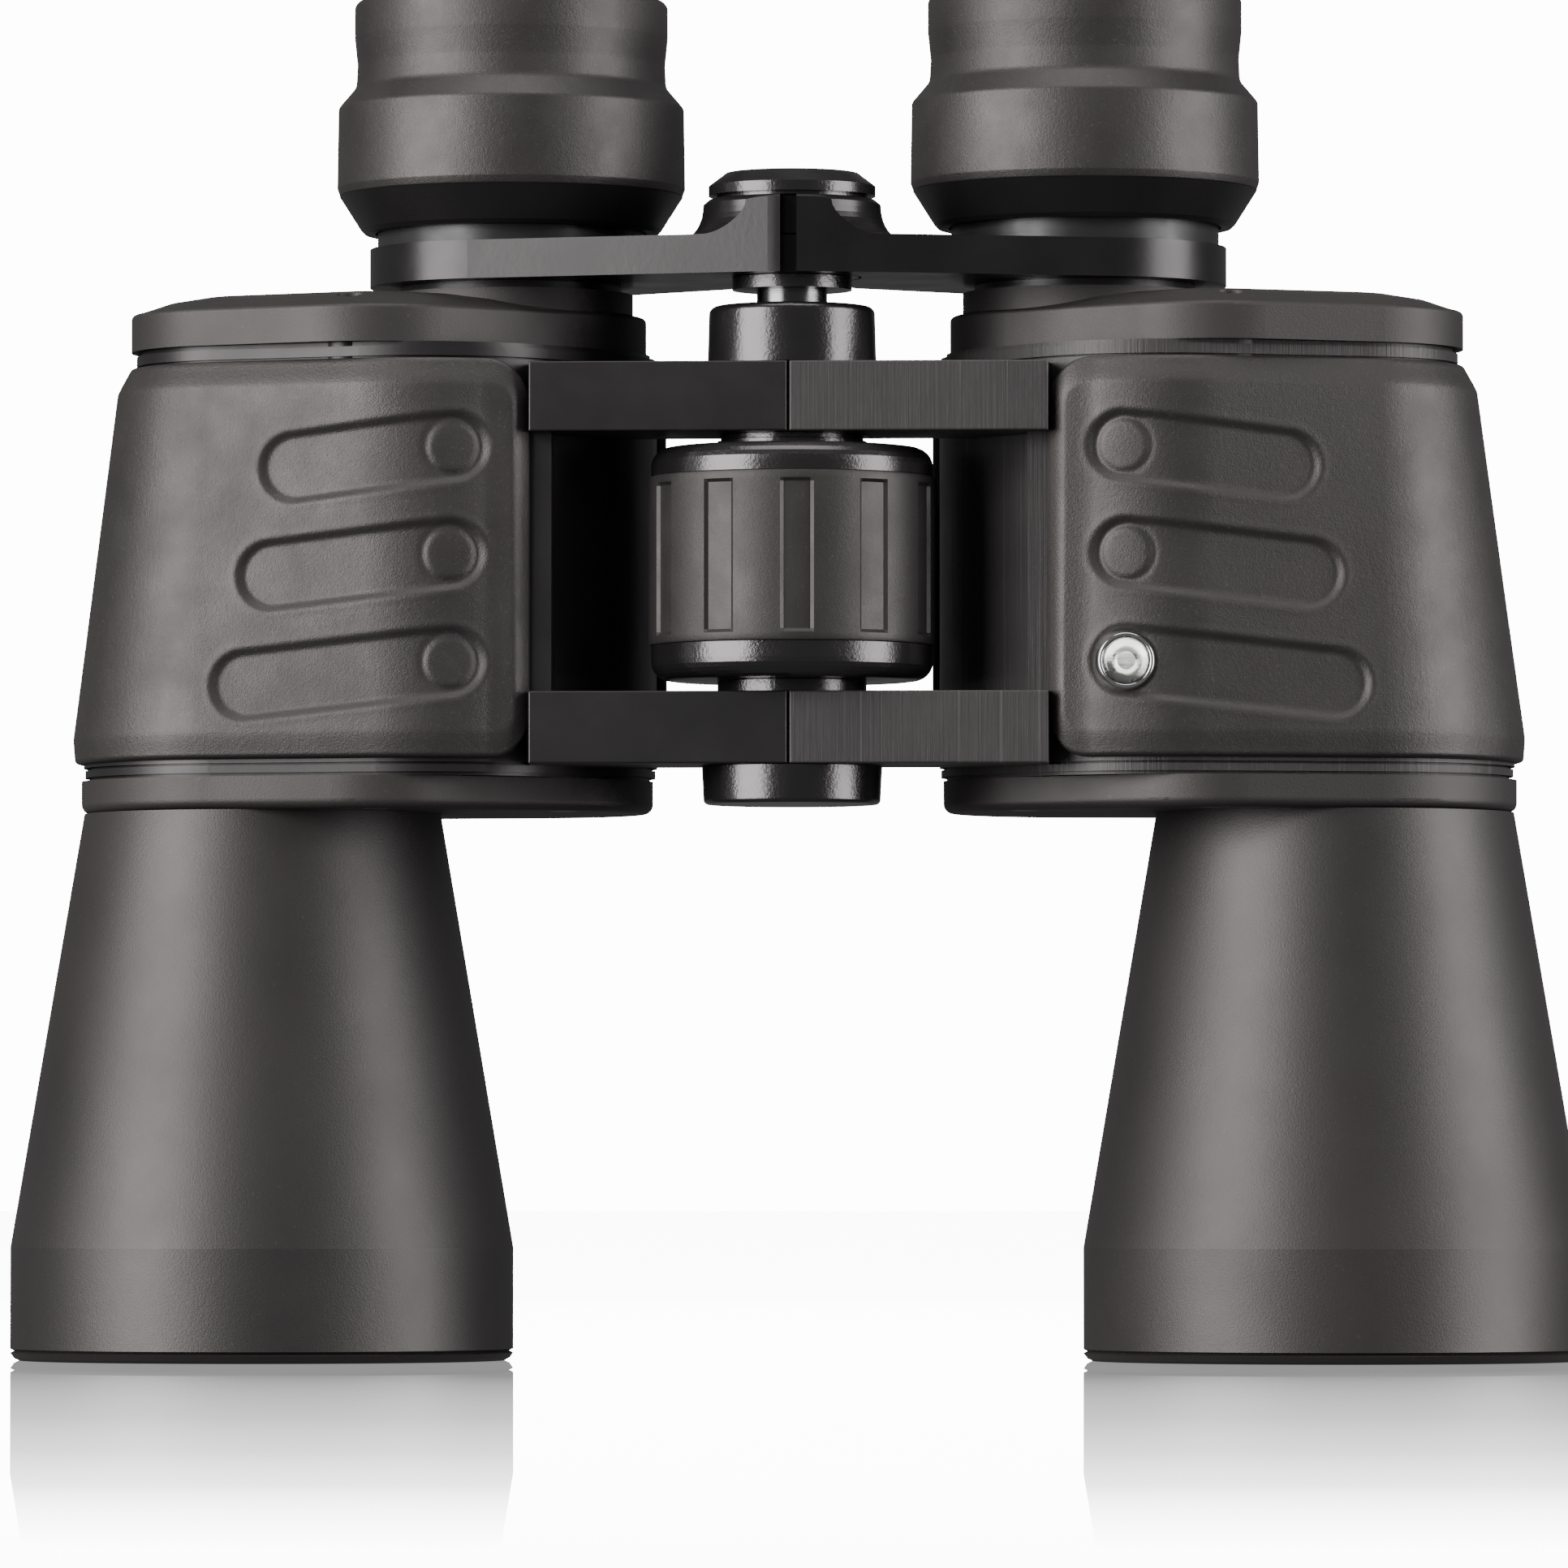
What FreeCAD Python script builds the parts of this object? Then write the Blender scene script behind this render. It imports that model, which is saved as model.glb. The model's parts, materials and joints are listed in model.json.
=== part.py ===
import FreeCAD, Part
import math
import os
import re

import Sketcher

# Centre-focus Porro-prism binoculars with 50 mm objectives, standing on the mouths of the
# objective barrels.  +X is to the user's right, +Y points away from the front (the side with
# the hinge), +Z points up towards the eyepieces.  The origin is the centre of the footprint.
# All sizes are in millimetres.

doc = FreeCAD.newDocument("binoculars")

# ---------------------------------------------------------------------------
# Driving dimensions
# ---------------------------------------------------------------------------
DIMENSIONS = {
    # optical axes and the hinge
    "objective_x": 66.15, "objective_y": 1.25, "eyepiece_x": 35.45, "eyepiece_y": 1.25,
    "relay_x": 50.80, "relay_y": -14.10, "hinge_y": -14.75,
    # plan of the housing: outer, front and inner circles at its foot, then at its head
    "foot_outer_r": 22.1, "front_x": 45.5, "front_r": 21.0, "foot_front_y": -4.5,
    "head_outer_x": 66.0, "head_outer_y": -3.75, "head_outer_r": 15.5, "head_front_y": -5.0,
    "inner_y": 2.25, "inner_r": 18.0,
    # plan of the covers where it differs from the housing
    "front_cover_grow": 0.25, "front_cover_inner_r": 17.5, "front_cover_round": 1.2,
    "top_cover_grow": 0.45, "top_cover_inner_r": 16.65, "top_cover_round": 0.6,
    "cover_front_x": 51.5, "cover_front_r": 16.0, "front_cover_front_y": -9.25,
    "top_cover_front_y": -9.85,
    # levels along the optical axis
    "barrel_top_z": 67.3, "front_cover_top_z": 71.3, "foot_bead_z": 71.7,
    "foot_bead_top_z": 72.6, "wall_bottom_z": 72.9, "shelf_z": 96.0, "shelf_t": 3.0,
    "shelf_share": 0.53, "wall_top_z": 121.9, "head_bead_z": 122.2, "head_bead_top_z": 123.4,
    "housing_top_z": 123.95, "rim_top_z": 128.6, "plateau_top_z": 130.7, "sleeve_top_z": 131.4,
    "wall_t": 1.6, "bead_in": 0.2, "groove_in": 0.9,
    # rubber armour
    "armor_t": 1.3, "armor_swell": 0.45, "armor_bottom_z": 73.1, "armor_shoulder_z": 118.1,
    "armor_top_z": 121.6, "armor_inner_x": 31.8, "armor_back_y": 5.0,
    # hinge arms
    "arm_front": 11.1, "arm_back": 5.0, "arm_joint": 0.15, "arm_round": 0.25,
    "arm_root_x": 31.5, "upper_arm_z": 112.9, "upper_arm_top_z": 121.4, "lower_arm_z": 72.6,
    "lower_arm_top_z": 81.4, "lug_r": 9.4, "lug_pocket_r": 9.7, "lug_gap": 0.2,
    "web_face_y": -22.75, "web_inner_x": 28.9,
    # hinge fittings and the focusing gear
    "axle_r": 6.4, "bush_r": 6.5, "running": 0.05, "spindle_r": 4.3, "cap_r": 11.0,
    "cap_mouth_r": 10.8, "cap_round": 0.6, "cap_z": 67.9, "cap_top_z": 72.5,
    "cap_floor_z": 68.8, "cap_bore_r": 8.7, "socket_r": 3.175, "socket_z": 69.0,
    "socket_top_z": 78.0, "axle_flange_r": 8.4, "axle_top_z": 90.0, "washer_r": 9.1,
    "washer_z": 81.5, "washer_top_z": 82.9, "collar_r": 10.1, "collar_foot_r": 10.3,
    "collar_round": 1.0, "collar_z": 121.5, "collar_top_z": 128.7, "bush_top_z": 127.5,
    "collar_bore_r": 4.6, "wheel_z": 83.0, "wheel_top_z": 111.4, "wheel_cap_r": 17.2,
    "grip_r": 17.5, "grip_z": 87.2, "grip_top_z": 107.9, "grip_core_r": 15.4,
    "wheel_neck_r": 9.1, "wheel_neck_top_z": 112.2, "thrust_z": 112.3, "thrust_top_z": 112.85,
    "thrust_r": 8.7, "thrust_bore_r": 4.6, "spindle_z": 95.0, "wheel_floor_z": 90.3,
    "wheel_round": 2.3, "spindle_top_z": 141.8,
    # bridge that carries the eyepieces
    "bridge_z": 132.3, "bridge_top_z": 137.0, "bridge_lug_r": 8.2, "bridge_front_r": 10.5,
    "boss_foot_z": 133.3, "boss_flare_h": 4.1, "boss_top_z": 141.7, "boss_r": 10.85,
    "boss_flare": 2.6, "boss_round": 0.7, "bridge_lug_play": 0.3, "bridge_split": 1.0,
    "ring_r": 17.45, "nut_r": 7.3, "nut_z": 130.7, "nut_top_z": 132.2, "top_cap_r": 10.2,
    "top_cap_foot_z": 141.8, "top_cap_foot_r": 9.2, "top_cap_z": 142.2, "top_cap_top_z": 145.0,
    "top_cap_rim_z": 143.4, "top_cap_crown_r": 8.1, "bridge_wedge": 22.0, "bridge_screw_r": 1.6,
    "bridge_screw_z": 134.0, "bridge_screw_tip_z": 135.0, "bridge_screw_head_r": 4.0,
    "bridge_screw_head_top_z": 142.9, "top_cap_recess_r": 5.5, "top_cap_recess_z": 143.3,
    # oculars
    "tube_r": 13.6, "tube_bore_r": 12.0, "tube_z": 119.6, "sleeve_r": 15.05, "neck_r": 16.5,
    "neck_top_z": 140.8, "shell_z": 139.0, "shell_foot_r": 18.6, "shell_round": 0.5,
    "shell_lip_r": 21.2, "shell_top_z": 143.6, "shell_bore_z": 141.8, "shell_seat_r": 18.2,
    "shell_seat_top_z": 156.5, "shell_skirt_r": 16.8, "cell_r": 15.5, "cell_z": 128.0,
    "cell_flange_z": 142.0, "cell_flange_t": 1.4, "cell_top_z": 157.0, "field_r": 10.6,
    "field_stop_r": 8.0, "field_stop_z": 138.0, "field_stop_t": 0.2, "field_stop_slope": 0.4,
    "field_front_z": 130.0, "field_front_rim_z": 131.2, "field_back_z": 134.2,
    "field_back_rim_z": 133.6, "eye_lens_r": 13.6, "eye_lens_z": 150.0, "eye_bore_r": 12.6,
    "eye_front_z": 149.6, "eye_front_rim_z": 150.05, "eye_back_z": 156.2,
    "eye_back_rim_z": 154.4, "eye_ring_r": 12.3, "eye_ring_z": 154.6, "eye_ring_slope": 0.35,
    "eyecup_r": 21.5, "eyecup_shoulder_z": 154.6, "eyecup_waist_r": 19.1,
    "eyecup_waist_z": 157.2, "eyecup_waist_top_z": 161.0, "eyecup_floor_z": 157.3,
    "eyecup_lip_r": 19.4, "eyecup_lip_z": 163.0, "eyecup_top_z": 167.8, "eyecup_inner_r": 17.4,
    "eyecup_round": 0.9, "diopter_gap": 0.5,
    # objectives
    "barrel_r": 31.0, "barrel_step_z": 13.9, "barrel_neck_r": 22.0, "mouth_r": 28.6,
    "lip_in": 1.1, "lip_chamfer": 0.3, "lip_side_in": 0.45, "lip_groove_z": 1.2,
    "lip_groove_half": 0.25, "lip_groove_in": 0.5, "baffle_flare": 2.7, "seat_z": 22.0,
    "seat_r": 26.2, "baffle_z": 62.0, "baffle_r": 17.6, "spigot_r": 19.4, "cell_play": 0.05,
    "cell_mouth_z": 9.0, "lens_r": 26.0, "lens_back_z": 20.1, "lens_lip_r": 24.6,
    "keeper_top_z": 10.5, "keeper_slope": 0.4, "crown_vertex_z": 7.0, "crown_rim_z": 10.6,
    "cement_rim_z": 13.6, "cement_vertex_z": 17.6, "cement_t": 0.04,
    # prisms
    "prism_end_r": 8.3, "prism_flat": 3.0, "aperture_r": 8.0, "clip_w": 6.0, "clip_t": 0.6,
    "clip_foot": 3.0, "shelf_play": 0.5,
    # cover screws and the bosses they hold on to
    "screw_r": 0.9, "screw_head_r": 1.7, "screw_head_h": 1.1, "screw_length": 8.0,
    "lid_screw_z": 127.9, "foot_boss_r": 3.3, "foot_boss_top_z": 75.8, "head_boss_r": 3.4,
    "head_boss_z": 119.5, "dome_in": 0.7, "shoulder_in": 4.5, "shoulder_z": 129.9,
    "plateau_in": 9.0,
    # badge on the right jacket
    "badge_x": 40.9, "badge_z": 84.9, "badge_r": 3.5, "badge_face_y": -26.9, "badge_h": 1.3,
    "badge_round": 0.5,
}

sizes = doc.addObject("Spreadsheet::Sheet", "sizes")
for row, (alias, size) in enumerate(DIMENSIONS.items(), start=1):
    sizes.set(f"A{row}", alias)
    sizes.set(f"B{row}", str(size))
    sizes.setAlias(f"B{row}", alias)
doc.recompute()

ALIAS = re.compile(r"\b(" + "|".join(sorted(DIMENSIONS, key=len, reverse=True)) + r")\b")
LEFT, RIGHT = -1, 1
SIDES = {LEFT: "left", RIGHT: "right"}

parts = []


# ---------------------------------------------------------------------------
# Expressions: every size is written once, as words that name cells of the sheet
# ---------------------------------------------------------------------------
def bound(expression):
    """The expression with every dimension pointing at its cell."""
    return ALIAS.sub(r"sizes.\1", str(expression))


def number(expression):
    """The present value of an expression, in millimetres."""
    return float(sizes.evalExpression(bound(expression)))


def bind(feature, **properties):
    """Tie each property of a feature to the sheet."""
    for prop, expression in properties.items():
        feature.setExpression(prop, bound(expression))


def fix_point(sketch, element, point, x, y):
    """Hold one sketch point at (x, y), both tied to the sheet."""
    for kind, axis, value in (("DistanceX", -2, x), ("DistanceY", -1, y)):
        if abs(number(value)) < 1e-9:
            sketch.addConstraint(Sketcher.Constraint("PointOnObject", element, point, axis))
            continue
        index = sketch.addConstraint(
            Sketcher.Constraint(kind, -1, 1, element, point, number(value)))
        sketch.setExpression(f"Constraints[{index}]", bound(value))


def new_body(label):
    """A body that becomes one file."""
    body = doc.addObject("PartDesign::Body", label)
    body.Label = label
    parts.append(body)
    return body


def new_sketch(body, plane="XY_Plane", level=0):
    """An empty sketch on one of the body's own origin planes, raised to a level."""
    sketch = body.newObject("Sketcher::SketchObject", "sketch")
    origin_plane = [f for f in body.Origin.OriginFeatures if f.Role == plane][0]
    sketch.AttachmentSupport = [(origin_plane, "")]
    sketch.MapMode = "FlatFace"
    if level != 0:
        sketch.setExpression("AttachmentOffset.Base.z", bound(level))
    return sketch


def vector(x, y):
    return FreeCAD.Vector(x, y, 0)


def polygon_sketch(body, points, plane="XY_Plane", level=0):
    """A closed outline of straight lines through points held by the sheet."""
    sketch = new_sketch(body, plane, level)
    corners = [vector(number(x), number(y)) for x, y in points]
    count = len(corners)
    for i in range(count):
        sketch.addGeometry(Part.LineSegment(corners[i], corners[(i + 1) % count]))
    for i in range(count):
        sketch.addConstraint(Sketcher.Constraint("Coincident", i, 2, (i + 1) % count, 1))
    for i, (x, y) in enumerate(points):
        fix_point(sketch, i, 1, x, y)
    return sketch


def circle_sketch(body, circles, level=0, plane="XY_Plane"):
    """Whole circles, each (x, y, radius)."""
    sketch = new_sketch(body, plane, level)
    for x, y, radius in circles:
        centre = vector(number(x), number(y))
        ring = sketch.addGeometry(Part.Circle(centre, FreeCAD.Vector(0, 0, 1), number(radius)))
        index = sketch.addConstraint(Sketcher.Constraint("Radius", ring, number(radius)))
        sketch.setExpression(f"Constraints[{index}]", bound(radius))
        fix_point(sketch, ring, 3, x, y)
    return sketch


def hull_sketch(body, circles, level=0):
    """The band stretched round circles (x, y, radius), which are given counter-clockwise."""
    sketch = new_sketch(body, level=level)
    discs = [(number(x), number(y), number(r)) for x, y, r in circles]
    count = len(discs)
    normals = []
    for i in range(count):
        x0, y0, r0 = discs[i]
        x1, y1, r1 = discs[(i + 1) % count]
        gap = math.hypot(x1 - x0, y1 - y0)
        along = ((x1 - x0) / gap, (y1 - y0) / gap)
        lean = (r0 - r1) / gap
        out = math.sqrt(1 - lean * lean)
        normals.append((along[0] * lean + along[1] * out, along[1] * lean - along[0] * out))
    for i in range(count):
        x0, y0, r0 = discs[i]
        x1, y1, r1 = discs[(i + 1) % count]
        nx, ny = normals[i]
        sketch.addGeometry(Part.LineSegment(vector(x0 + r0 * nx, y0 + r0 * ny),
                                            vector(x1 + r1 * nx, y1 + r1 * ny)))
        end_x, end_y = normals[(i + 1) % count]
        start = math.atan2(ny, nx)
        sweep = (math.atan2(end_y, end_x) - start) % (2 * math.pi)
        ring = Part.Circle(vector(x1, y1), FreeCAD.Vector(0, 0, 1), r1)
        sketch.addGeometry(Part.ArcOfCircle(ring, start, start + sweep))
    for i in range(count):
        line, arc, next_line = 2 * i, 2 * i + 1, (2 * i + 2) % (2 * count)
        sketch.addConstraint(Sketcher.Constraint("Tangent", line, 2, arc, 1))
        sketch.addConstraint(Sketcher.Constraint("Tangent", arc, 2, next_line, 1))
        x, y, radius = circles[(i + 1) % count]
        fix_point(sketch, arc, 3, x, y)
        index = sketch.addConstraint(Sketcher.Constraint("Radius", arc, number(radius)))
        sketch.setExpression(f"Constraints[{index}]", bound(radius))
    return sketch


# ---------------------------------------------------------------------------
# Features
# ---------------------------------------------------------------------------
def pad(body, sketch, height):
    """Material from the sketch upwards."""
    feature = body.newObject("PartDesign::Pad", "pad")
    feature.Profile = sketch
    bind(feature, Length=height)
    return feature


def pocket(body, sketch, height):
    """A cut from the sketch upwards."""
    feature = body.newObject("PartDesign::Pocket", "pocket")
    feature.Profile = sketch
    feature.Reversed = True
    bind(feature, Length=height)
    return feature


def turn(body, profile, kind="PartDesign::Revolution"):
    """A turned shape: profile is (radius, z) points, revolved about the body's own Z axis."""
    sketch = polygon_sketch(body, profile, plane="XZ_Plane")
    feature = body.newObject(kind, "turned")
    feature.Profile = sketch
    feature.ReferenceAxis = (sketch, ["V_Axis"])
    feature.Angle = 360
    return feature


def loft(body, lower, upper, kind="PartDesign::AdditiveLoft"):
    """A straight-sided loft between two outlines."""
    feature = body.newObject(kind, "loft")
    feature.Profile = lower
    feature.Sections = [upper]
    feature.Ruled = True
    return feature


def edges_where(feature, test):
    """Names of the feature's edges whose bounding box passes a test."""
    doc.recompute()
    return [f"Edge{i}" for i, edge in enumerate(feature.Shape.Edges, start=1)
            if test(edge.BoundBox)]


def round_edges(body, feature, test, radius):
    """Fillet the edges that pass a test."""
    fillet = body.newObject("PartDesign::Fillet", "fillet")
    fillet.Base = (feature, edges_where(feature, test))
    bind(fillet, Radius=radius)
    return fillet


def at_level(z):
    """A test for edges that lie flat at one level."""
    return lambda box: abs(box.ZMin - number(z)) < 1e-4 and abs(box.ZMax - number(z)) < 1e-4


def arc(centre_r, centre_z, radius, start, end, step=15):
    """Profile points round a corner of a turned shape, between two angles in degrees."""
    count = abs(end - start) // step
    angles = [math.radians(start + (end - start) * i / count) for i in range(count + 1)]
    return [(f"{centre_r} + {radius} * ({math.cos(a):.4f})",
             f"{centre_z} + {radius} * ({math.sin(a):.4f})") for a in angles]


def turned_part(label, profile, x=0, y=0, z=0, rounds=()):
    """A turned piece on a vertical axis, with rounded edges as (level, radius) pairs."""
    body = new_body(label)
    feature = turn(body, profile)
    for level, radius in rounds:
        feature = round_edges(body, feature, at_level(level), radius)
    body.setExpression("Placement.Base.x", bound(x))
    body.setExpression("Placement.Base.y", bound(y))
    body.setExpression("Placement.Base.z", bound(z))
    return body


def ordered(side, circles):
    """Plan circles for one half, mirrored for the left and kept counter-clockwise."""
    placed = [(f"{side} * ({x})", y, radius) for x, y, radius in circles]
    return placed if side == RIGHT else placed[::-1]


def mirrored(side, points):
    """Plan points for one half."""
    return [(f"{side} * ({x})", y) for x, y in points]


# ---------------------------------------------------------------------------
# Plans shared by the housing, its covers and the armour (right half, counter-clockwise)
# ---------------------------------------------------------------------------
def foot_plan(grow):
    return [("objective_x", "objective_y", f"foot_outer_r + ({grow})"),
            ("eyepiece_x", "inner_y", f"inner_r + ({grow})"),
            ("front_x", "foot_front_y", f"front_r + ({grow})")]


def head_plan(grow):
    return [("head_outer_x", "head_outer_y", f"head_outer_r + ({grow})"),
            ("eyepiece_x", "inner_y", f"inner_r + ({grow})"),
            ("front_x", "head_front_y", f"front_r + ({grow})")]


def front_cover_plan(grow):
    return [("objective_x", "objective_y", f"foot_outer_r + front_cover_grow + ({grow})"),
            ("eyepiece_x", "inner_y", f"front_cover_inner_r + ({grow})"),
            ("cover_front_x", "front_cover_front_y", f"cover_front_r + ({grow})")]


def top_cover_plan(grow):
    return [("head_outer_x", "head_outer_y", f"head_outer_r + top_cover_grow + ({grow})"),
            ("eyepiece_x", "inner_y", f"top_cover_inner_r + ({grow})"),
            ("cover_front_x", "top_cover_front_y", f"cover_front_r + ({grow})")]


# Where the cover screws stand on the right half
FOOT_SCREWS = [(28.2, -10.0), (26.0, 11.7), (50.5, -20.5), (46.0, 15.9)]
HEAD_SCREWS = [(77.2, -5.2), (53.6, -20.3), (50.0, 12.0)]


def screw_circles(side, places, radius):
    """One circle at each screw of one half."""
    return [(f"{side} * {x}", y, radius) for x, y in places]


# ---------------------------------------------------------------------------
# Prism housing with its hinge arms
# ---------------------------------------------------------------------------
def hinge_arm(body, side, bottom, top, lug_is_low):
    """One arm: a flat-fronted block up to the joint line and a round lug on the hinge axis."""
    middle = f"(({bottom}) + ({top})) / 2"
    lug_bottom = bottom if lug_is_low else f"{middle} + lug_gap / 2"
    lug_top = f"{middle} - lug_gap / 2" if lug_is_low else top
    free_bottom = f"{middle} - lug_gap / 2" if lug_is_low else bottom
    free_top = top if lug_is_low else f"{middle} + lug_gap / 2"
    outline = mirrored(side, [("arm_joint", "hinge_y - arm_front"),
                              ("arm_root_x", "hinge_y - arm_front"),
                              ("arm_root_x", "hinge_y + arm_back"),
                              ("arm_joint", "hinge_y + arm_back")])
    arm = pad(body, polygon_sketch(body, outline, level=bottom), f"({top}) - ({bottom})")
    face_y, low_z, high_z = number("hinge_y - arm_front"), number(bottom), number(top)
    round_edges(body, arm, lambda box: abs(box.YMin - face_y) < 1e-4 and
                abs(box.YMax - face_y) < 1e-4 and low_z - 1e-4 < box.ZMin and
                box.ZMax < high_z + 1e-4, "arm_round")
    pocket(body, circle_sketch(body, [(0, "hinge_y", "lug_pocket_r")], free_bottom),
           f"({free_top}) - ({free_bottom})")
    pad(body, circle_sketch(body, [(0, "hinge_y", "lug_r")], lug_bottom),
        f"({lug_top}) - ({lug_bottom})")


def prism_housing(side):
    """Cast case, open at both ends, with two hinge arms and the post between them."""
    body = new_body(f"{SIDES[side]}_prism_housing")
    loft(body, hull_sketch(body, ordered(side, foot_plan(0)), "wall_bottom_z"),
         hull_sketch(body, ordered(side, head_plan(0)), "wall_top_z"))
    bands = [(foot_plan, "- groove_in", "front_cover_top_z", "foot_bead_z"),
             (foot_plan, "- bead_in", "foot_bead_z", "foot_bead_top_z"),
             (foot_plan, "- groove_in", "foot_bead_top_z", "wall_bottom_z"),
             (head_plan, "- groove_in", "wall_top_z", "head_bead_z"),
             (head_plan, "- bead_in", "head_bead_z", "head_bead_top_z"),
             (head_plan, "- groove_in", "head_bead_top_z", "housing_top_z")]
    for plan, grow, bottom, top in bands:
        pad(body, hull_sketch(body, ordered(side, plan(grow)), bottom), f"{top} - {bottom}")
    left_owns_low = side == LEFT
    hinge_arm(body, side, "upper_arm_z", "upper_arm_top_z", left_owns_low)
    hinge_arm(body, side, "lower_arm_z", "lower_arm_top_z", left_owns_low)
    post = mirrored(side, [("web_inner_x", "web_face_y"), ("arm_root_x", "web_face_y"),
                           ("arm_root_x", "hinge_y + arm_back"),
                           ("web_inner_x", "hinge_y + arm_back")])
    pad(body, polygon_sketch(body, post, level="lower_arm_top_z"), "upper_arm_z - lower_arm_top_z")
    loft(body, hull_sketch(body, ordered(side, foot_plan("- wall_t")), "front_cover_top_z"),
         hull_sketch(body, ordered(side, head_plan("- wall_t")), "housing_top_z"),
         "PartDesign::SubtractiveLoft")
    for x, y in FOOT_SCREWS:
        pad(body, circle_sketch(body, [(f"{side} * {x}", y, "foot_boss_r")], "front_cover_top_z"),
            "foot_boss_top_z - front_cover_top_z")
    for x, y in HEAD_SCREWS:
        pad(body, circle_sketch(body, [(f"{side} * {x}", y, "head_boss_r")], "head_boss_z"),
            "housing_top_z - head_boss_z")
    pocket(body, circle_sketch(body, screw_circles(side, FOOT_SCREWS, "screw_r"),
                               "front_cover_top_z"), "foot_boss_top_z - front_cover_top_z")
    pocket(body, circle_sketch(body, screw_circles(side, HEAD_SCREWS, "screw_r"),
                               "head_boss_z"), "housing_top_z - head_boss_z")
    fit = "" if side == LEFT else " + running"
    pocket(body, circle_sketch(body, [(0, "hinge_y", "bush_r" + fit)], "upper_arm_z"),
           "upper_arm_top_z - upper_arm_z")
    pocket(body, circle_sketch(body, [(0, "hinge_y", "axle_r" + fit)], "lower_arm_z"),
           "lower_arm_top_z - lower_arm_z")


def armor(side):
    """Moulded rubber jacket round the housing, open towards the hinge."""
    body = new_body(f"{SIDES[side]}_armor")
    loft(body, hull_sketch(body, ordered(side, foot_plan("armor_t")), "armor_bottom_z"),
         hull_sketch(body, ordered(side, head_plan("armor_t + armor_swell")), "armor_shoulder_z"))
    loft(body, hull_sketch(body, ordered(side, head_plan("armor_t + armor_swell")), "armor_shoulder_z"),
         hull_sketch(body, ordered(side, head_plan("armor_t / 10")), "armor_top_z"))
    loft(body, hull_sketch(body, ordered(side, foot_plan(0)), "wall_bottom_z"),
         hull_sketch(body, ordered(side, head_plan(0)), "wall_top_z"),
         "PartDesign::SubtractiveLoft")
    opening = mirrored(side, [("0", "hinge_y - 3 * arm_front"),
                              ("armor_inner_x", "hinge_y - 3 * arm_front"),
                              ("armor_inner_x", "armor_back_y"), ("0", "armor_back_y")])
    pocket(body, polygon_sketch(body, opening, level="armor_bottom_z"),
           "armor_top_z - armor_bottom_z")
    if side == RIGHT:
        recess = [("badge_x", "badge_z", "badge_r + cell_play")]
        pocket(body, circle_sketch(body, recess, "- badge_face_y - badge_h", "XZ_Plane"),
               "2 * badge_h")


# ---------------------------------------------------------------------------
# Covers and their screws
# ---------------------------------------------------------------------------
def front_cover(side):
    """Plate under the housing that the objective barrel screws into."""
    body = new_body(f"{SIDES[side]}_front_cover")
    plate = pad(body, hull_sketch(body, ordered(side, front_cover_plan(0)), "barrel_top_z"),
                "front_cover_top_z - barrel_top_z")
    round_edges(body, plate, at_level("barrel_top_z"), "front_cover_round")
    pocket(body, circle_sketch(body, [(f"{side} * objective_x", "objective_y", "spigot_r")],
                               "barrel_top_z"), "front_cover_top_z - barrel_top_z")
    pocket(body, circle_sketch(body, screw_circles(side, FOOT_SCREWS, "screw_r"),
                               "barrel_top_z"), "front_cover_top_z - barrel_top_z")
    pocket(body, circle_sketch(body, screw_circles(side, FOOT_SCREWS, "screw_head_r"),
                               "barrel_top_z"), "screw_head_h")


def top_cover(side):
    """Low domed lid over the prisms, with the guide sleeve of the ocular tube."""
    body = new_body(f"{SIDES[side]}_top_cover")
    rim = pad(body, hull_sketch(body, ordered(side, top_cover_plan(0)), "housing_top_z"),
              "rim_top_z - housing_top_z")
    round_edges(body, rim, at_level("rim_top_z"), "top_cover_round")
    for steps in (("- dome_in", "rim_top_z", "- shoulder_in", "shoulder_z"),
                  ("- shoulder_in", "shoulder_z", "- plateau_in", "plateau_top_z")):
        low_in, low_z, high_in, high_z = steps
        loft(body, hull_sketch(body, ordered(side, top_cover_plan(low_in)), low_z),
             hull_sketch(body, ordered(side, top_cover_plan(high_in)), high_z))
    sleeve = (f"{side} * eyepiece_x", "eyepiece_y", "sleeve_r")
    pad(body, circle_sketch(body, [sleeve], "rim_top_z"), "sleeve_top_z - rim_top_z")
    pocket(body, circle_sketch(body, [(*sleeve[:2], "tube_r + running")], "housing_top_z"),
           "sleeve_top_z - housing_top_z")
    pocket(body, circle_sketch(body, screw_circles(side, HEAD_SCREWS, "screw_r"),
                               "housing_top_z"), "plateau_top_z - housing_top_z")
    pocket(body, circle_sketch(body, screw_circles(side, HEAD_SCREWS, "screw_head_r"),
                               "lid_screw_z"), "plateau_top_z - lid_screw_z")


def group_of(label, members):
    """Separate solids of one kind that share a file."""
    group = doc.addObject("Part::Compound", label)
    group.Label = label
    group.Links = members
    parts.append(group)


def rod(name, radius, height, x, y, z):
    """A plain vertical cylinder."""
    cylinder = doc.addObject("Part::Cylinder", name)
    bind(cylinder, Radius=radius, Height=height)
    for axis, place in (("x", x), ("y", y), ("z", z)):
        cylinder.setExpression(f"Placement.Base.{axis}", bound(place))
    return cylinder


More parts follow.
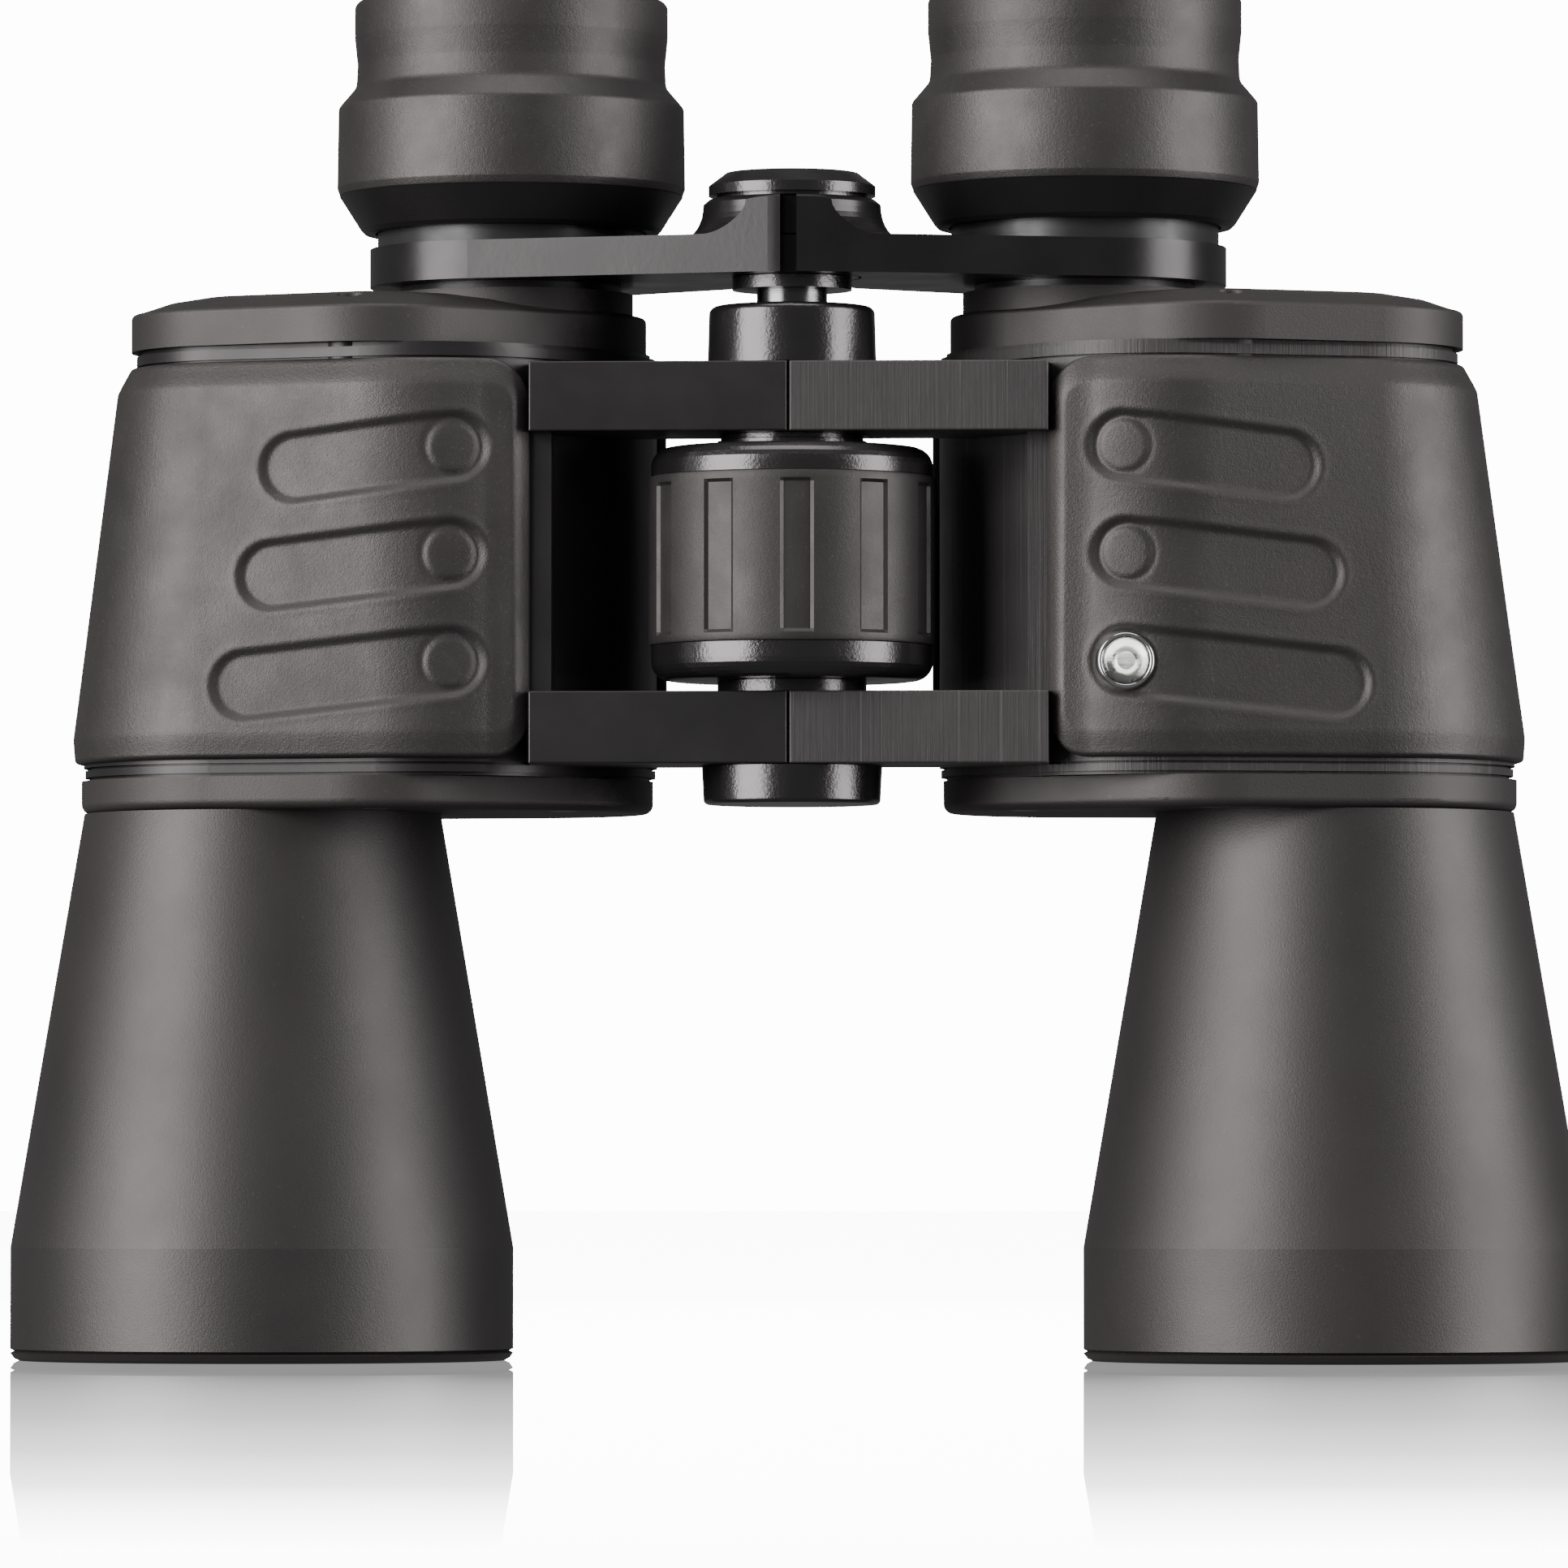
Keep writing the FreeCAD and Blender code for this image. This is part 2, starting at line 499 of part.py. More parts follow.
def cover_screws(side):
    """All the pan-head screws of one half, as one group of separate solids."""
    screws = []
    levels = [(FOOT_SCREWS, "barrel_top_z", "barrel_top_z + screw_head_h"),
              (HEAD_SCREWS, "lid_screw_z", "lid_screw_z - screw_length")]
    for places, head_z, shank_z in levels:
        for x, y in places:
            length = "screw_length" if places is HEAD_SCREWS else "screw_length / 2"
            screw = doc.addObject("Part::Fuse", "screw")
            screw.Base = rod("screw_head", "screw_head_r", "screw_head_h",
                             f"{side} * {x}", y, head_z)
            screw.Tool = rod("screw_shank", "screw_r", length, f"{side} * {x}", y, shank_z)
            screws.append(screw)
    group_of(f"{SIDES[side]}_cover_screws", screws)


# ---------------------------------------------------------------------------
# Lenses
# ---------------------------------------------------------------------------
def lens(label, x, y, radius, front, back, lift=0):
    """A turned lens: front and back are (vertex z, rim z); a curved side is one arc."""
    body = new_body(label)
    sketch = new_sketch(body, "XZ_Plane")
    rim = number(radius)
    corners = {"rim": [vector(rim, number(front[1])), vector(rim, number(back[1]))],
               "axis": [vector(0, number(back[0])), vector(0, number(front[0]))]}
    edge = sketch.addGeometry(Part.LineSegment(*corners["rim"]))
    core = sketch.addGeometry(Part.LineSegment(*corners["axis"]))
    fix_point(sketch, edge, 1, radius, front[1])
    fix_point(sketch, edge, 2, radius, back[1])
    fix_point(sketch, core, 1, 0, back[0])
    fix_point(sketch, core, 2, 0, front[0])
    for (vertex, border), edge_end, core_end in ((front, 1, 2), (back, 2, 1)):
        vertex_z, rim_z = number(vertex), number(border)
        sag = abs(rim_z - vertex_z)
        if sag < 1e-6:
            face = sketch.addGeometry(Part.LineSegment(vector(0, vertex_z), vector(rim, rim_z)))
            vertex_end = 1
        else:
            curve_r = (rim * rim + sag * sag) / (2 * sag)
            opens_up = vertex_z < rim_z
            centre_z = vertex_z + curve_r if opens_up else vertex_z - curve_r
            rim_angle = math.atan2(rim_z - centre_z, rim)
            sweep = (-math.pi / 2, rim_angle) if opens_up else (rim_angle, math.pi / 2)
            circle = Part.Circle(vector(0, centre_z), FreeCAD.Vector(0, 0, 1), curve_r)
            face = sketch.addGeometry(Part.ArcOfCircle(circle, *sweep))
            sketch.addConstraint(Sketcher.Constraint("PointOnObject", face, 3, -2))
            vertex_end = 1 if opens_up else 2
        sketch.addConstraint(
            Sketcher.Constraint("Coincident", face, vertex_end, core, core_end))
        sketch.addConstraint(
            Sketcher.Constraint("Coincident", face, 3 - vertex_end, edge, edge_end))
    feature = body.newObject("PartDesign::Revolution", "turned")
    feature.Profile = sketch
    feature.ReferenceAxis = (sketch, ["V_Axis"])
    feature.Angle = 360
    body.setExpression("Placement.Base.x", bound(x))
    body.setExpression("Placement.Base.y", bound(y))
    body.setExpression("Placement.Base.z", bound(lift))


# ---------------------------------------------------------------------------
# Objective end of one half
# ---------------------------------------------------------------------------
def objective(side):
    """Flared barrel, lens cell, cemented doublet and the ring that keeps it."""
    name = SIDES[side]
    axis = (f"{side} * objective_x", "objective_y")
    turned_part(f"{name}_objective_barrel", [
        ("mouth_r", "0"), ("barrel_r - lip_in", "0"), ("barrel_r - lip_side_in", "lip_chamfer"),
        ("barrel_r", "lip_groove_z - lip_groove_half"),
        ("barrel_r - lip_groove_in", "lip_groove_z"),
        ("barrel_r", "lip_groove_z + lip_groove_half"), ("barrel_r", "barrel_step_z"),
        ("barrel_neck_r", "barrel_top_z"), ("spigot_r", "barrel_top_z"),
        ("spigot_r", "front_cover_top_z"), ("baffle_r", "front_cover_top_z"),
        ("baffle_r", "baffle_z"), ("baffle_r + baffle_flare", "baffle_z"), ("seat_r", "seat_z"),
        ("mouth_r", "seat_z")], *axis)
    turned_part(f"{name}_objective_cell", [
        ("mouth_r - cell_play", "cell_mouth_z"), ("mouth_r - cell_play", "seat_z"),
        ("lens_lip_r", "seat_z"), ("lens_lip_r", "lens_back_z"), ("lens_r", "lens_back_z"),
        ("lens_r", "cell_mouth_z")], *axis)
    turned_part(f"{name}_objective_retaining_ring", [
        ("lens_lip_r", "cell_mouth_z"), ("lens_r - cell_play", "cell_mouth_z"),
        ("lens_r - cell_play", "keeper_top_z"), ("lens_lip_r", "keeper_top_z - keeper_slope")], *axis)
    lens(f"{name}_objective_crown_lens", *axis, "lens_r - cell_play",
         ("crown_vertex_z", "crown_rim_z"), ("cement_vertex_z", "cement_rim_z"))
    lens(f"{name}_objective_flint_lens", *axis, "lens_r - cell_play",
         ("cement_vertex_z + cement_t", "cement_rim_z + cement_t"), ("lens_back_z", "lens_back_z"))


# ---------------------------------------------------------------------------
# Prisms
# ---------------------------------------------------------------------------
def shelf_plan(grow):
    """The housing's plan at the level of the prism shelf."""
    outer = [f"(1 - shelf_share) * {foot} + shelf_share * {head}" for foot, head in (
        ("objective_x", "head_outer_x"), ("objective_y", "head_outer_y"),
        ("foot_outer_r", "head_outer_r"))]
    return [(outer[0], outer[1], f"{outer[2]} + ({grow})"),
            ("eyepiece_x", "inner_y", f"inner_r + ({grow})"),
            ("front_x", "foot_front_y", f"front_r + ({grow})")]


def place_on_relay(body, side, end_x, end_y, z, upside_down):
    """Put a piece midway between the relay axis and another axis, in line with both."""
    body.setExpression("Placement.Base.x", bound(f"{side} * ({end_x} + relay_x) / 2"))
    body.setExpression("Placement.Base.y", bound(f"({end_y} + relay_y) / 2"))
    body.setExpression("Placement.Base.z", bound(z))
    run_x = side * (number(end_x) - number("relay_x"))
    run_y = number(end_y) - number("relay_y")
    turn_z = FreeCAD.Rotation(FreeCAD.Vector(0, 0, 1), math.degrees(math.atan2(run_y, run_x)))
    flip = FreeCAD.Rotation(FreeCAD.Vector(1, 0, 0), 180 if upside_down else 0)
    body.Placement.Rotation = turn_z * flip


def cross_pad(body, sketch, width, kind="PartDesign::Pad"):
    """Material, or a cut, to both sides of a sketch."""
    feature = body.newObject(kind, "cross")
    feature.Profile = sketch
    feature.Midplane = True
    bind(feature, Length=width)
    return feature


def porro_prism(label, side, end_x, end_y, z, upside_down):
    """A right-angle prism with round ends, its long face on the shelf."""
    body = new_body(label)
    half_run = f"sqrt(({end_x} - relay_x) ^ 2 + ({end_y} - relay_y) ^ 2) / 2"
    reach = f"({half_run} + prism_end_r)"
    pad(body, hull_sketch(body, [(f"- {half_run}", 0, "prism_end_r"),
                                 (half_run, 0, "prism_end_r")]), f"{reach} - prism_flat")
    for way in (LEFT, RIGHT):
        corner = [(f"{way} * ({reach} + 1)", "0"),
                  (f"{way} * {reach}", "0"),
                  (f"{way} * prism_flat", f"{reach} - prism_flat"),
                  (f"{way} * ({reach} + 1)", f"{reach} - prism_flat")]
        cross_pad(body, polygon_sketch(body, corner, "XZ_Plane"), "4 * prism_end_r",
                  "PartDesign::Pocket")
    place_on_relay(body, side, end_x, end_y, z, upside_down)


def prism_clip(side, end_x, end_y, z, upside_down):
    """A spring strap over the ridge of a prism, with two feet on the shelf."""
    body = doc.addObject("PartDesign::Body", "clip")
    half_run = f"sqrt(({end_x} - relay_x) ^ 2 + ({end_y} - relay_y) ^ 2) / 2"
    ridge = f"({half_run} + prism_end_r - prism_flat + cell_play)"
    leg = "(prism_end_r + cell_play)"
    half = [(f"{leg} + clip_t + clip_foot", "0"), (f"{leg} + clip_t + clip_foot", "clip_t"),
            (f"{leg} + clip_t", "clip_t"), (f"{leg} + clip_t", f"{ridge} + clip_t")]
    inside = [(leg, ridge), (leg, "0")]
    outline = half + [(f"- ({x})", y) for x, y in half[::-1]]
    outline += [(f"- {x}", y) for x, y in inside[::-1]] + inside
    cross_pad(body, polygon_sketch(body, outline, "YZ_Plane"), "clip_w")
    place_on_relay(body, side, end_x, end_y, z, upside_down)
    return body


def prism_train(side):
    """The shelf across the housing and the two prisms clipped to its faces."""
    name = SIDES[side]
    shelf = new_body(f"{name}_prism_shelf")
    pad(shelf, hull_sketch(shelf, ordered(side, shelf_plan("- wall_t - shelf_play")), "shelf_z"),
        "shelf_t")
    windows = [(f"{side} * {way}_x", f"{way}_y", "aperture_r")
               for way in ("objective", "relay", "eyepiece")]
    pocket(shelf, circle_sketch(shelf, windows, "shelf_z"), "shelf_t")
    porro_prism(f"{name}_upper_prism", side, "objective_x", "objective_y",
                "shelf_z + shelf_t", False)
    porro_prism(f"{name}_lower_prism", side, "eyepiece_x", "eyepiece_y", "shelf_z", True)
    group_of(f"{name}_prism_clips", [
        prism_clip(side, "objective_x", "objective_y", "shelf_z + shelf_t", False),
        prism_clip(side, "eyepiece_x", "eyepiece_y", "shelf_z", True)])


# ---------------------------------------------------------------------------
# Eyepiece end of one half
# ---------------------------------------------------------------------------
def ocular_arm(side):
    """Bridge arm: a flat plate to the ocular ring, a flared boss and a lug on the spindle."""
    body = new_body(f"{SIDES[side]}_ocular_arm")
    ring = (f"{side} * eyepiece_x", "eyepiece_y")
    hinge = ("0", "hinge_y")
    pair = [(*hinge, "bridge_front_r"), (*ring, "ring_r")]
    pad(body, hull_sketch(body, pair if side == LEFT else pair[::-1], "bridge_z"),
        "bridge_top_z - bridge_z")
    middle = "bridge_top_z"
    boss = [("0", "boss_foot_z"), ("boss_r + boss_flare", "boss_foot_z")]
    for degrees in range(0, 91, 10):
        angle = math.radians(degrees)
        boss.append((f"boss_r + boss_flare * {1 - math.sin(angle):.4f}",
                     f"{middle} + boss_flare_h * {1 - math.cos(angle):.4f}"))
    boss += [("boss_r - boss_round", "boss_top_z"), ("0", "boss_top_z")]
    sketch = polygon_sketch(body, boss, plane="XZ_Plane")
    sketch.setExpression("AttachmentOffset.Base.z", bound("- hinge_y"))
    flare = body.newObject("PartDesign::Revolution", "flare")
    flare.Profile = sketch
    flare.ReferenceAxis = (sketch, ["V_Axis"])
    flare.Angle = 360
    trim = hull_sketch(body, pair if side == LEFT else pair[::-1], "bridge_z")
    ring_round = trim.addGeometry(Part.Circle(vector(0, 0), FreeCAD.Vector(0, 0, 1),
                                              number("2 * eyepiece_x")))
    trim.addConstraint(Sketcher.Constraint("Coincident", ring_round, 3, -1, 1))
    trim.addConstraint(Sketcher.Constraint("Radius", ring_round, number("2 * eyepiece_x")))
    pocket(body, trim, "boss_top_z - bridge_z")
    reach = "eyepiece_x"
    beyond = [("bridge_split", f"hinge_y - {reach}"), (f"- {reach}", f"hinge_y - {reach}"),
              (f"- {reach}", f"hinge_y + {reach}"),
              (f"{reach} * tan(bridge_wedge)", f"hinge_y + {reach}"),
              ("bridge_split", f"hinge_y + bridge_split / tan(bridge_wedge)")]
    pocket(body, polygon_sketch(body, mirrored(side, beyond), level="bridge_z"),
           "boss_top_z - bridge_z")
    lug_low = side == LEFT
    lug_bottom = "bridge_z" if lug_low else f"{middle} + lug_gap / 2"
    lug_top = f"{middle} - lug_gap / 2" if lug_low else "boss_top_z"
    free_bottom = f"{middle} - lug_gap / 2" if lug_low else "bridge_z"
    free_top = "boss_top_z" if lug_low else f"{middle} + lug_gap / 2"
    pocket(body, circle_sketch(body, [(*hinge, "bridge_lug_r + bridge_lug_play")], free_bottom),
           f"{free_top} - ({free_bottom})")
    pad(body, circle_sketch(body, [(*hinge, "bridge_lug_r")], lug_bottom),
        f"{lug_top} - ({lug_bottom})")
    fit = "spindle_r" if side == LEFT else "spindle_r + running"
    pocket(body, circle_sketch(body, [(*hinge, fit)], "bridge_z"), "boss_top_z - bridge_z")
    pocket(body, circle_sketch(body, [(*ring, "tube_r")], "bridge_z"), "bridge_top_z - bridge_z")


def ocular(side):
    """Tube, lens cell, lenses, shell and rubber cup of one eyepiece."""
    name = SIDES[side]
    axis = (f"{side} * eyepiece_x", "eyepiece_y")
    lift = "diopter_gap" if side == RIGHT else "0"
    ocular_arm(side)
    turned_part(f"{name}_ocular_tube", [
        ("tube_bore_r", "tube_z"), ("tube_r", "tube_z"), ("tube_r", "bridge_top_z"),
        ("neck_r", "bridge_top_z"), ("neck_r", "neck_top_z"), ("tube_bore_r", "neck_top_z")],
        *axis)
    turned_part(f"{name}_ocular_lens_cell", [
        ("field_r", "cell_z"), ("tube_bore_r - running", "cell_z"),
        ("tube_bore_r - running", "cell_flange_z"), ("cell_r", "cell_flange_z"),
        ("cell_r", "cell_top_z"), ("eye_lens_r", "cell_top_z"), ("eye_lens_r", "eye_lens_z"),
        ("eye_bore_r", "eye_lens_z"), ("eye_bore_r", "cell_flange_z + cell_flange_t"),
        ("field_r", "cell_flange_z + cell_flange_t")], *axis, lift)
    turned_part(f"{name}_field_stop", [
        ("field_stop_r", "field_stop_z"),
        ("field_r - cell_play", "field_stop_z - field_stop_slope"),
        ("field_r - cell_play", "field_stop_z + field_stop_t + field_stop_slope"),
        ("field_stop_r", "field_stop_z + field_stop_t")],
        *axis, lift)
    lens(f"{name}_field_lens", *axis, "field_r - cell_play",
         ("field_front_z", "field_front_rim_z"), ("field_back_z", "field_back_rim_z"), lift)
    lens(f"{name}_eye_lens", *axis, "eye_lens_r - cell_play",
         ("eye_front_z", "eye_front_rim_z"), ("eye_back_z", "eye_back_rim_z"), lift)
    turned_part(f"{name}_eye_lens_ring", [
        ("eye_ring_r", "eye_ring_z + eye_ring_slope"), ("eye_lens_r - cell_play", "eye_ring_z"),
        ("eye_lens_r - cell_play", "cell_top_z"), ("eye_bore_r", "cell_top_z")], *axis, lift)
    turned_part(f"{name}_eyepiece_shell", [
        ("shell_skirt_r", "shell_z"), ("shell_foot_r - shell_round", "shell_z"),
        ("shell_foot_r", "shell_z + shell_round"), ("shell_lip_r", "shell_top_z"),
        ("shell_seat_r", "shell_top_z"), ("shell_seat_r", "shell_seat_top_z"),
        ("cell_r + running", "shell_seat_top_z"), ("cell_r + running", "shell_bore_z"),
        ("shell_skirt_r", "shell_bore_z")], *axis, lift)
    turned_part(f"{name}_eyecup", [
        ("shell_seat_r", "shell_top_z"), ("eyecup_r", "shell_top_z"),
        ("eyecup_r", "eyecup_shoulder_z"), ("eyecup_waist_r", "eyecup_waist_z"),
        ("eyecup_waist_r", "eyecup_waist_top_z"), ("eyecup_lip_r", "eyecup_lip_z"),
        ("eyecup_lip_r", "eyecup_top_z - eyecup_round"),
        ("eyecup_lip_r - eyecup_round", "eyecup_top_z"),
        ("eyecup_inner_r", "eyecup_top_z"), ("eyecup_inner_r", "eyecup_floor_z"),
        ("shell_seat_r", "shell_seat_top_z")], *axis, lift)


# ---------------------------------------------------------------------------
# Hinge and focusing gear on the hinge axis
# ---------------------------------------------------------------------------
def hinge_column():
    """Everything turned about the hinge axis, from the tripod cap up to the bridge cap."""
    axis = ("0", "hinge_y")
    turned_part("tripod_cap", [
        ("0", "cap_z"), *arc("cap_mouth_r - cap_round", "cap_z + cap_round", "cap_round", -90, 0),
        ("cap_r", "cap_top_z"), ("cap_bore_r", "cap_top_z"), ("cap_bore_r", "cap_floor_z"),
        ("0", "cap_floor_z")], *axis)
    turned_part("lower_hinge_axle", [
        ("socket_r", "socket_z"), ("axle_flange_r", "socket_z"),
        ("axle_flange_r", "lower_arm_z"), ("axle_r", "lower_arm_z"), ("axle_r", "axle_top_z"),
        ("0", "axle_top_z"), ("0", "socket_top_z"), ("socket_r", "socket_top_z")], *axis)
    turned_part("lower_thrust_washer", [
        ("axle_r", "washer_z"), ("washer_r", "washer_z"), ("washer_r", "washer_top_z"),
        ("axle_r", "washer_top_z")], *axis)
    turned_part("upper_thrust_washer", [
        ("thrust_bore_r", "thrust_z"), ("thrust_r", "thrust_z"),
        ("thrust_r", "thrust_top_z"), ("thrust_bore_r", "thrust_top_z")], *axis)
    turned_part("upper_hinge_bush", [
        ("spindle_r + running", "upper_arm_z"), ("bush_r", "upper_arm_z"),
        ("bush_r", "bush_top_z"), ("spindle_r + running", "bush_top_z")], *axis)
    turned_part("upper_hinge_collar", [
        ("bush_r", "collar_z"), ("collar_foot_r", "collar_z"), ("collar_r", "collar_top_z"),
        ("collar_bore_r", "collar_top_z"), ("collar_bore_r", "bush_top_z"),
        ("bush_r", "bush_top_z")], *axis, rounds=[("collar_top_z", "collar_round")])
    turned_part("focus_wheel_hub", [
        ("axle_r + running", "wheel_z"),
        *arc("wheel_cap_r - wheel_round", "wheel_z + wheel_round", "wheel_round", -90, 0),
        ("wheel_cap_r", "grip_z"),
        ("grip_core_r", "grip_z"), ("grip_core_r", "grip_top_z"), ("wheel_cap_r", "grip_top_z"),
        *arc("wheel_cap_r - wheel_round", "wheel_top_z - wheel_round", "wheel_round", 0, 90),
        ("wheel_neck_r", "wheel_top_z"),
        ("wheel_neck_r", "wheel_neck_top_z"), ("spindle_r + running", "wheel_neck_top_z"),
        ("spindle_r + running", "wheel_floor_z"), ("axle_r + running", "wheel_floor_z")], *axis)
    turned_part("focus_wheel_grip", [
        ("grip_core_r", "grip_z"), ("grip_r", "grip_z"), ("grip_r", "grip_top_z"),
        ("grip_core_r", "grip_top_z")], *axis)
    turned_part("focus_spindle", [
        ("0", "spindle_z"), ("spindle_r", "spindle_z"), ("spindle_r", "spindle_top_z"),
        ("bridge_screw_r", "spindle_top_z"), ("bridge_screw_r", "bridge_screw_z"),
        ("0", "bridge_screw_z")], *axis)
    turned_part("spindle_nut", [
        ("spindle_r", "nut_z"), ("nut_r", "nut_z"), ("nut_r", "nut_top_z"),
        ("spindle_r", "nut_top_z")], *axis)
    turned_part("bridge_screw", [
        ("0", "bridge_screw_tip_z"), ("bridge_screw_r", "bridge_screw_tip_z"),
        ("bridge_screw_r", "spindle_top_z"), ("bridge_screw_head_r", "spindle_top_z"),
        ("bridge_screw_head_r", "bridge_screw_head_top_z"), ("0", "bridge_screw_head_top_z")],
        *axis)
    turned_part("bridge_cap", [
        ("top_cap_recess_r", "top_cap_foot_z"), ("top_cap_foot_r", "top_cap_foot_z"),
        ("top_cap_foot_r", "top_cap_z"), ("top_cap_r", "top_cap_z"),
        ("top_cap_r", "top_cap_rim_z"), ("top_cap_crown_r", "top_cap_top_z"),
        ("0", "top_cap_top_z"), ("0", "top_cap_recess_z"),
        ("top_cap_recess_r", "top_cap_recess_z")], *axis)


def badge():
    """A small domed badge let into the right jacket, facing the front."""
    disc = turned_part("front_badge", [
        ("0", "0"), ("badge_r", "0"), ("badge_r", "badge_h - badge_round"),
        ("badge_r - badge_round", "badge_h"), ("0", "badge_h")],
        "badge_x", "badge_face_y + badge_h", "badge_z")
    disc.Placement.Rotation = FreeCAD.Rotation(FreeCAD.Vector(1, 0, 0), 90)


# ---------------------------------------------------------------------------
# Build, check and export
# ---------------------------------------------------------------------------
for side in SIDES:
    prism_housing(side)
    armor(side)
    front_cover(side)
    top_cover(side)
    cover_screws(side)
    objective(side)
    prism_train(side)
    ocular(side)
hinge_column()
badge()

doc.recompute()
for item in doc.Objects:
    if "Invalid" in item.State or "Error" in item.State:
        raise RuntimeError(f"{item.Name} did not build: {item.State}")
for made in parts:
    if made.Shape.isNull() or not made.Shape.isValid() or not made.Shape.Solids:
        raise RuntimeError(f"{made.Label} is not a valid solid")

os.makedirs("parts", exist_ok=True)
for made in parts:
    made.Shape.exportStep(f"parts/{made.Label}.step")
print(len(parts), "pieces written")
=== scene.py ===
import json
import math

import bmesh
import bpy
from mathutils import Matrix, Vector


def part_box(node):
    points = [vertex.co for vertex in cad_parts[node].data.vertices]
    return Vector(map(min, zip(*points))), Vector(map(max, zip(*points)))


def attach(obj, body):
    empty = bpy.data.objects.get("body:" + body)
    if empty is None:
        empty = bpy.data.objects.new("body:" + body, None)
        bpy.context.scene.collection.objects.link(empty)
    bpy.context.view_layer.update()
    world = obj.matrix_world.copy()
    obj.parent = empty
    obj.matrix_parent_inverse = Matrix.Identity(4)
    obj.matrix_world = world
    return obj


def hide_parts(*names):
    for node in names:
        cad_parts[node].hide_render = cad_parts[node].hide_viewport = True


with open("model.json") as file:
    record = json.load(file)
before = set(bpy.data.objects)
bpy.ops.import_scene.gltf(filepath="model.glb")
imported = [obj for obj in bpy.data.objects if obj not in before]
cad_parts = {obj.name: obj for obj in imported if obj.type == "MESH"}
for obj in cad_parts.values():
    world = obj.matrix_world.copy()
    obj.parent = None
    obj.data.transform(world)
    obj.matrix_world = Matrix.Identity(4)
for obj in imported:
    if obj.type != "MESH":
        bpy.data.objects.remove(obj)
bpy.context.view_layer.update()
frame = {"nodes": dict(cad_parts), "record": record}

# Looks for a pair of centre-focus binoculars.  Lengths are metres, written as millimetres * MM.
MM = 0.001
SIDES = {"left": -1, "right": 1}
nodes = frame["nodes"]


def centre_of(node):
    """Middle of a node's box, in millimetres."""
    low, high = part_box(node)
    return (low + high) / 2 / MM


def level(node, top):
    """Lowest or highest level of a node, in millimetres."""
    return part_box(node)[1 if top else 0].z / MM


OBJECTIVE = centre_of("right_objective_barrel")
EYEPIECE = centre_of("right_eyecup")
HINGE = centre_of("focus_wheel_grip")


# ---------------------------------------------------------------------------
# Procedural materials
# ---------------------------------------------------------------------------
NOISE_SPAN = (0.3, 0.7)         # where nearly all of a noise texture's values lie


class Finish:
    """A Principled material with a bump chain and soft colour and roughness variation."""

    def __init__(self, name, color, roughness, metallic=0.0, **sockets):
        self.material = bpy.data.materials.new(name)
        self.material.use_nodes = True
        self.tree = self.material.node_tree
        self.shader = self.tree.nodes["Principled BSDF"]
        self.coords = self.tree.nodes.new("ShaderNodeTexCoord").outputs["Object"]
        self.normal = None
        self.set("Base Color", (*color, 1))
        self.set("Roughness", roughness)
        self.set("Metallic", metallic)
        for socket, value in sockets.items():
            self.set(socket.replace("_", " "), value)

    def set(self, socket, value):
        """Set one of the shader's own sockets."""
        self.shader.inputs[socket].default_value = value

    def node(self, kind, **inputs):
        """A new node with its inputs set or linked; "_" in a name stands for a blank."""
        made = self.tree.nodes.new(kind)
        for socket, value in inputs.items():
            self.feed(made.inputs[socket.replace("_", " ")], value)
        return made

    def feed(self, socket, value):
        """Set a socket, or link it when the value is another node's output."""
        if isinstance(value, bpy.types.NodeSocket):
            self.tree.links.new(value, socket)
        else:
            socket.default_value = value

    def stretched(self, scale):
        """Object coordinates scaled along each axis."""
        return self.node("ShaderNodeMapping", Vector=self.coords, Scale=scale).outputs["Vector"]

    def noise(self, scale, detail, rough=0.55, vector=None):
        """Noise texture over the object coordinates, or over others."""
        made = self.node("ShaderNodeTexNoise", Vector=vector or self.coords, Scale=scale,
                         Detail=detail, Roughness=rough)
        return made.outputs["Fac"]

    def ramp(self, factor, low, high, low_out=0.0, high_out=1.0):
        """Map a range of a factor to a range of values, clamped."""
        made = self.node("ShaderNodeMapRange", Value=factor, From_Min=low, From_Max=high,
                         To_Min=low_out, To_Max=high_out)
        return made.outputs["Result"]

    def bump(self, height, depth, strength):
        """Stack another layer of relief, depth in metres."""
        made = self.node("ShaderNodeBump", Height=height, Distance=depth, Strength=strength)
        if self.normal is not None:
            self.feed(made.inputs["Normal"], self.normal)
        self.normal = made.outputs["Normal"]
        self.feed(self.shader.inputs["Normal"], self.normal)

    def vary_roughness(self, factor, low, high):
        """Let the roughness wander between two values with a noise factor."""
        self.feed(self.shader.inputs["Roughness"], self.ramp(factor, *NOISE_SPAN, low, high))

    def mix_color(self, factor, low, high, share, other):
        """Blend in up to a share of another colour as a factor goes from low to high."""
        blend = self.ramp(factor, low, high, 0.0, share)
        mix = self.tree.nodes.new("ShaderNodeMix")
        mix.data_type = "RGBA"
        self.feed(mix.inputs["Factor"], blend)
        base = self.shader.inputs["Base Color"]
        if base.is_linked:
            self.tree.links.new(base.links[0].from_socket, mix.inputs["A"])
        else:
            mix.inputs["A"].default_value = base.default_value[:]
        mix.inputs["B"].default_value = (*other, 1)
        self.tree.links.new(mix.outputs["Result"], base)


def grey(value, warm=0.0):
    """A near-neutral colour, slightly reddish when warm."""
    return (value * (1 + warm), value, value * (1 - warm / 6))


# colour of the highlights on rubber and matte coating, and on sprayed paint
WARM_SHEEN = (1.0, 0.93, 0.93, 1)
PAINT_SHEEN = (1.0, 0.945, 0.955, 1)
LEAST_ROUGHNESS = 0.05


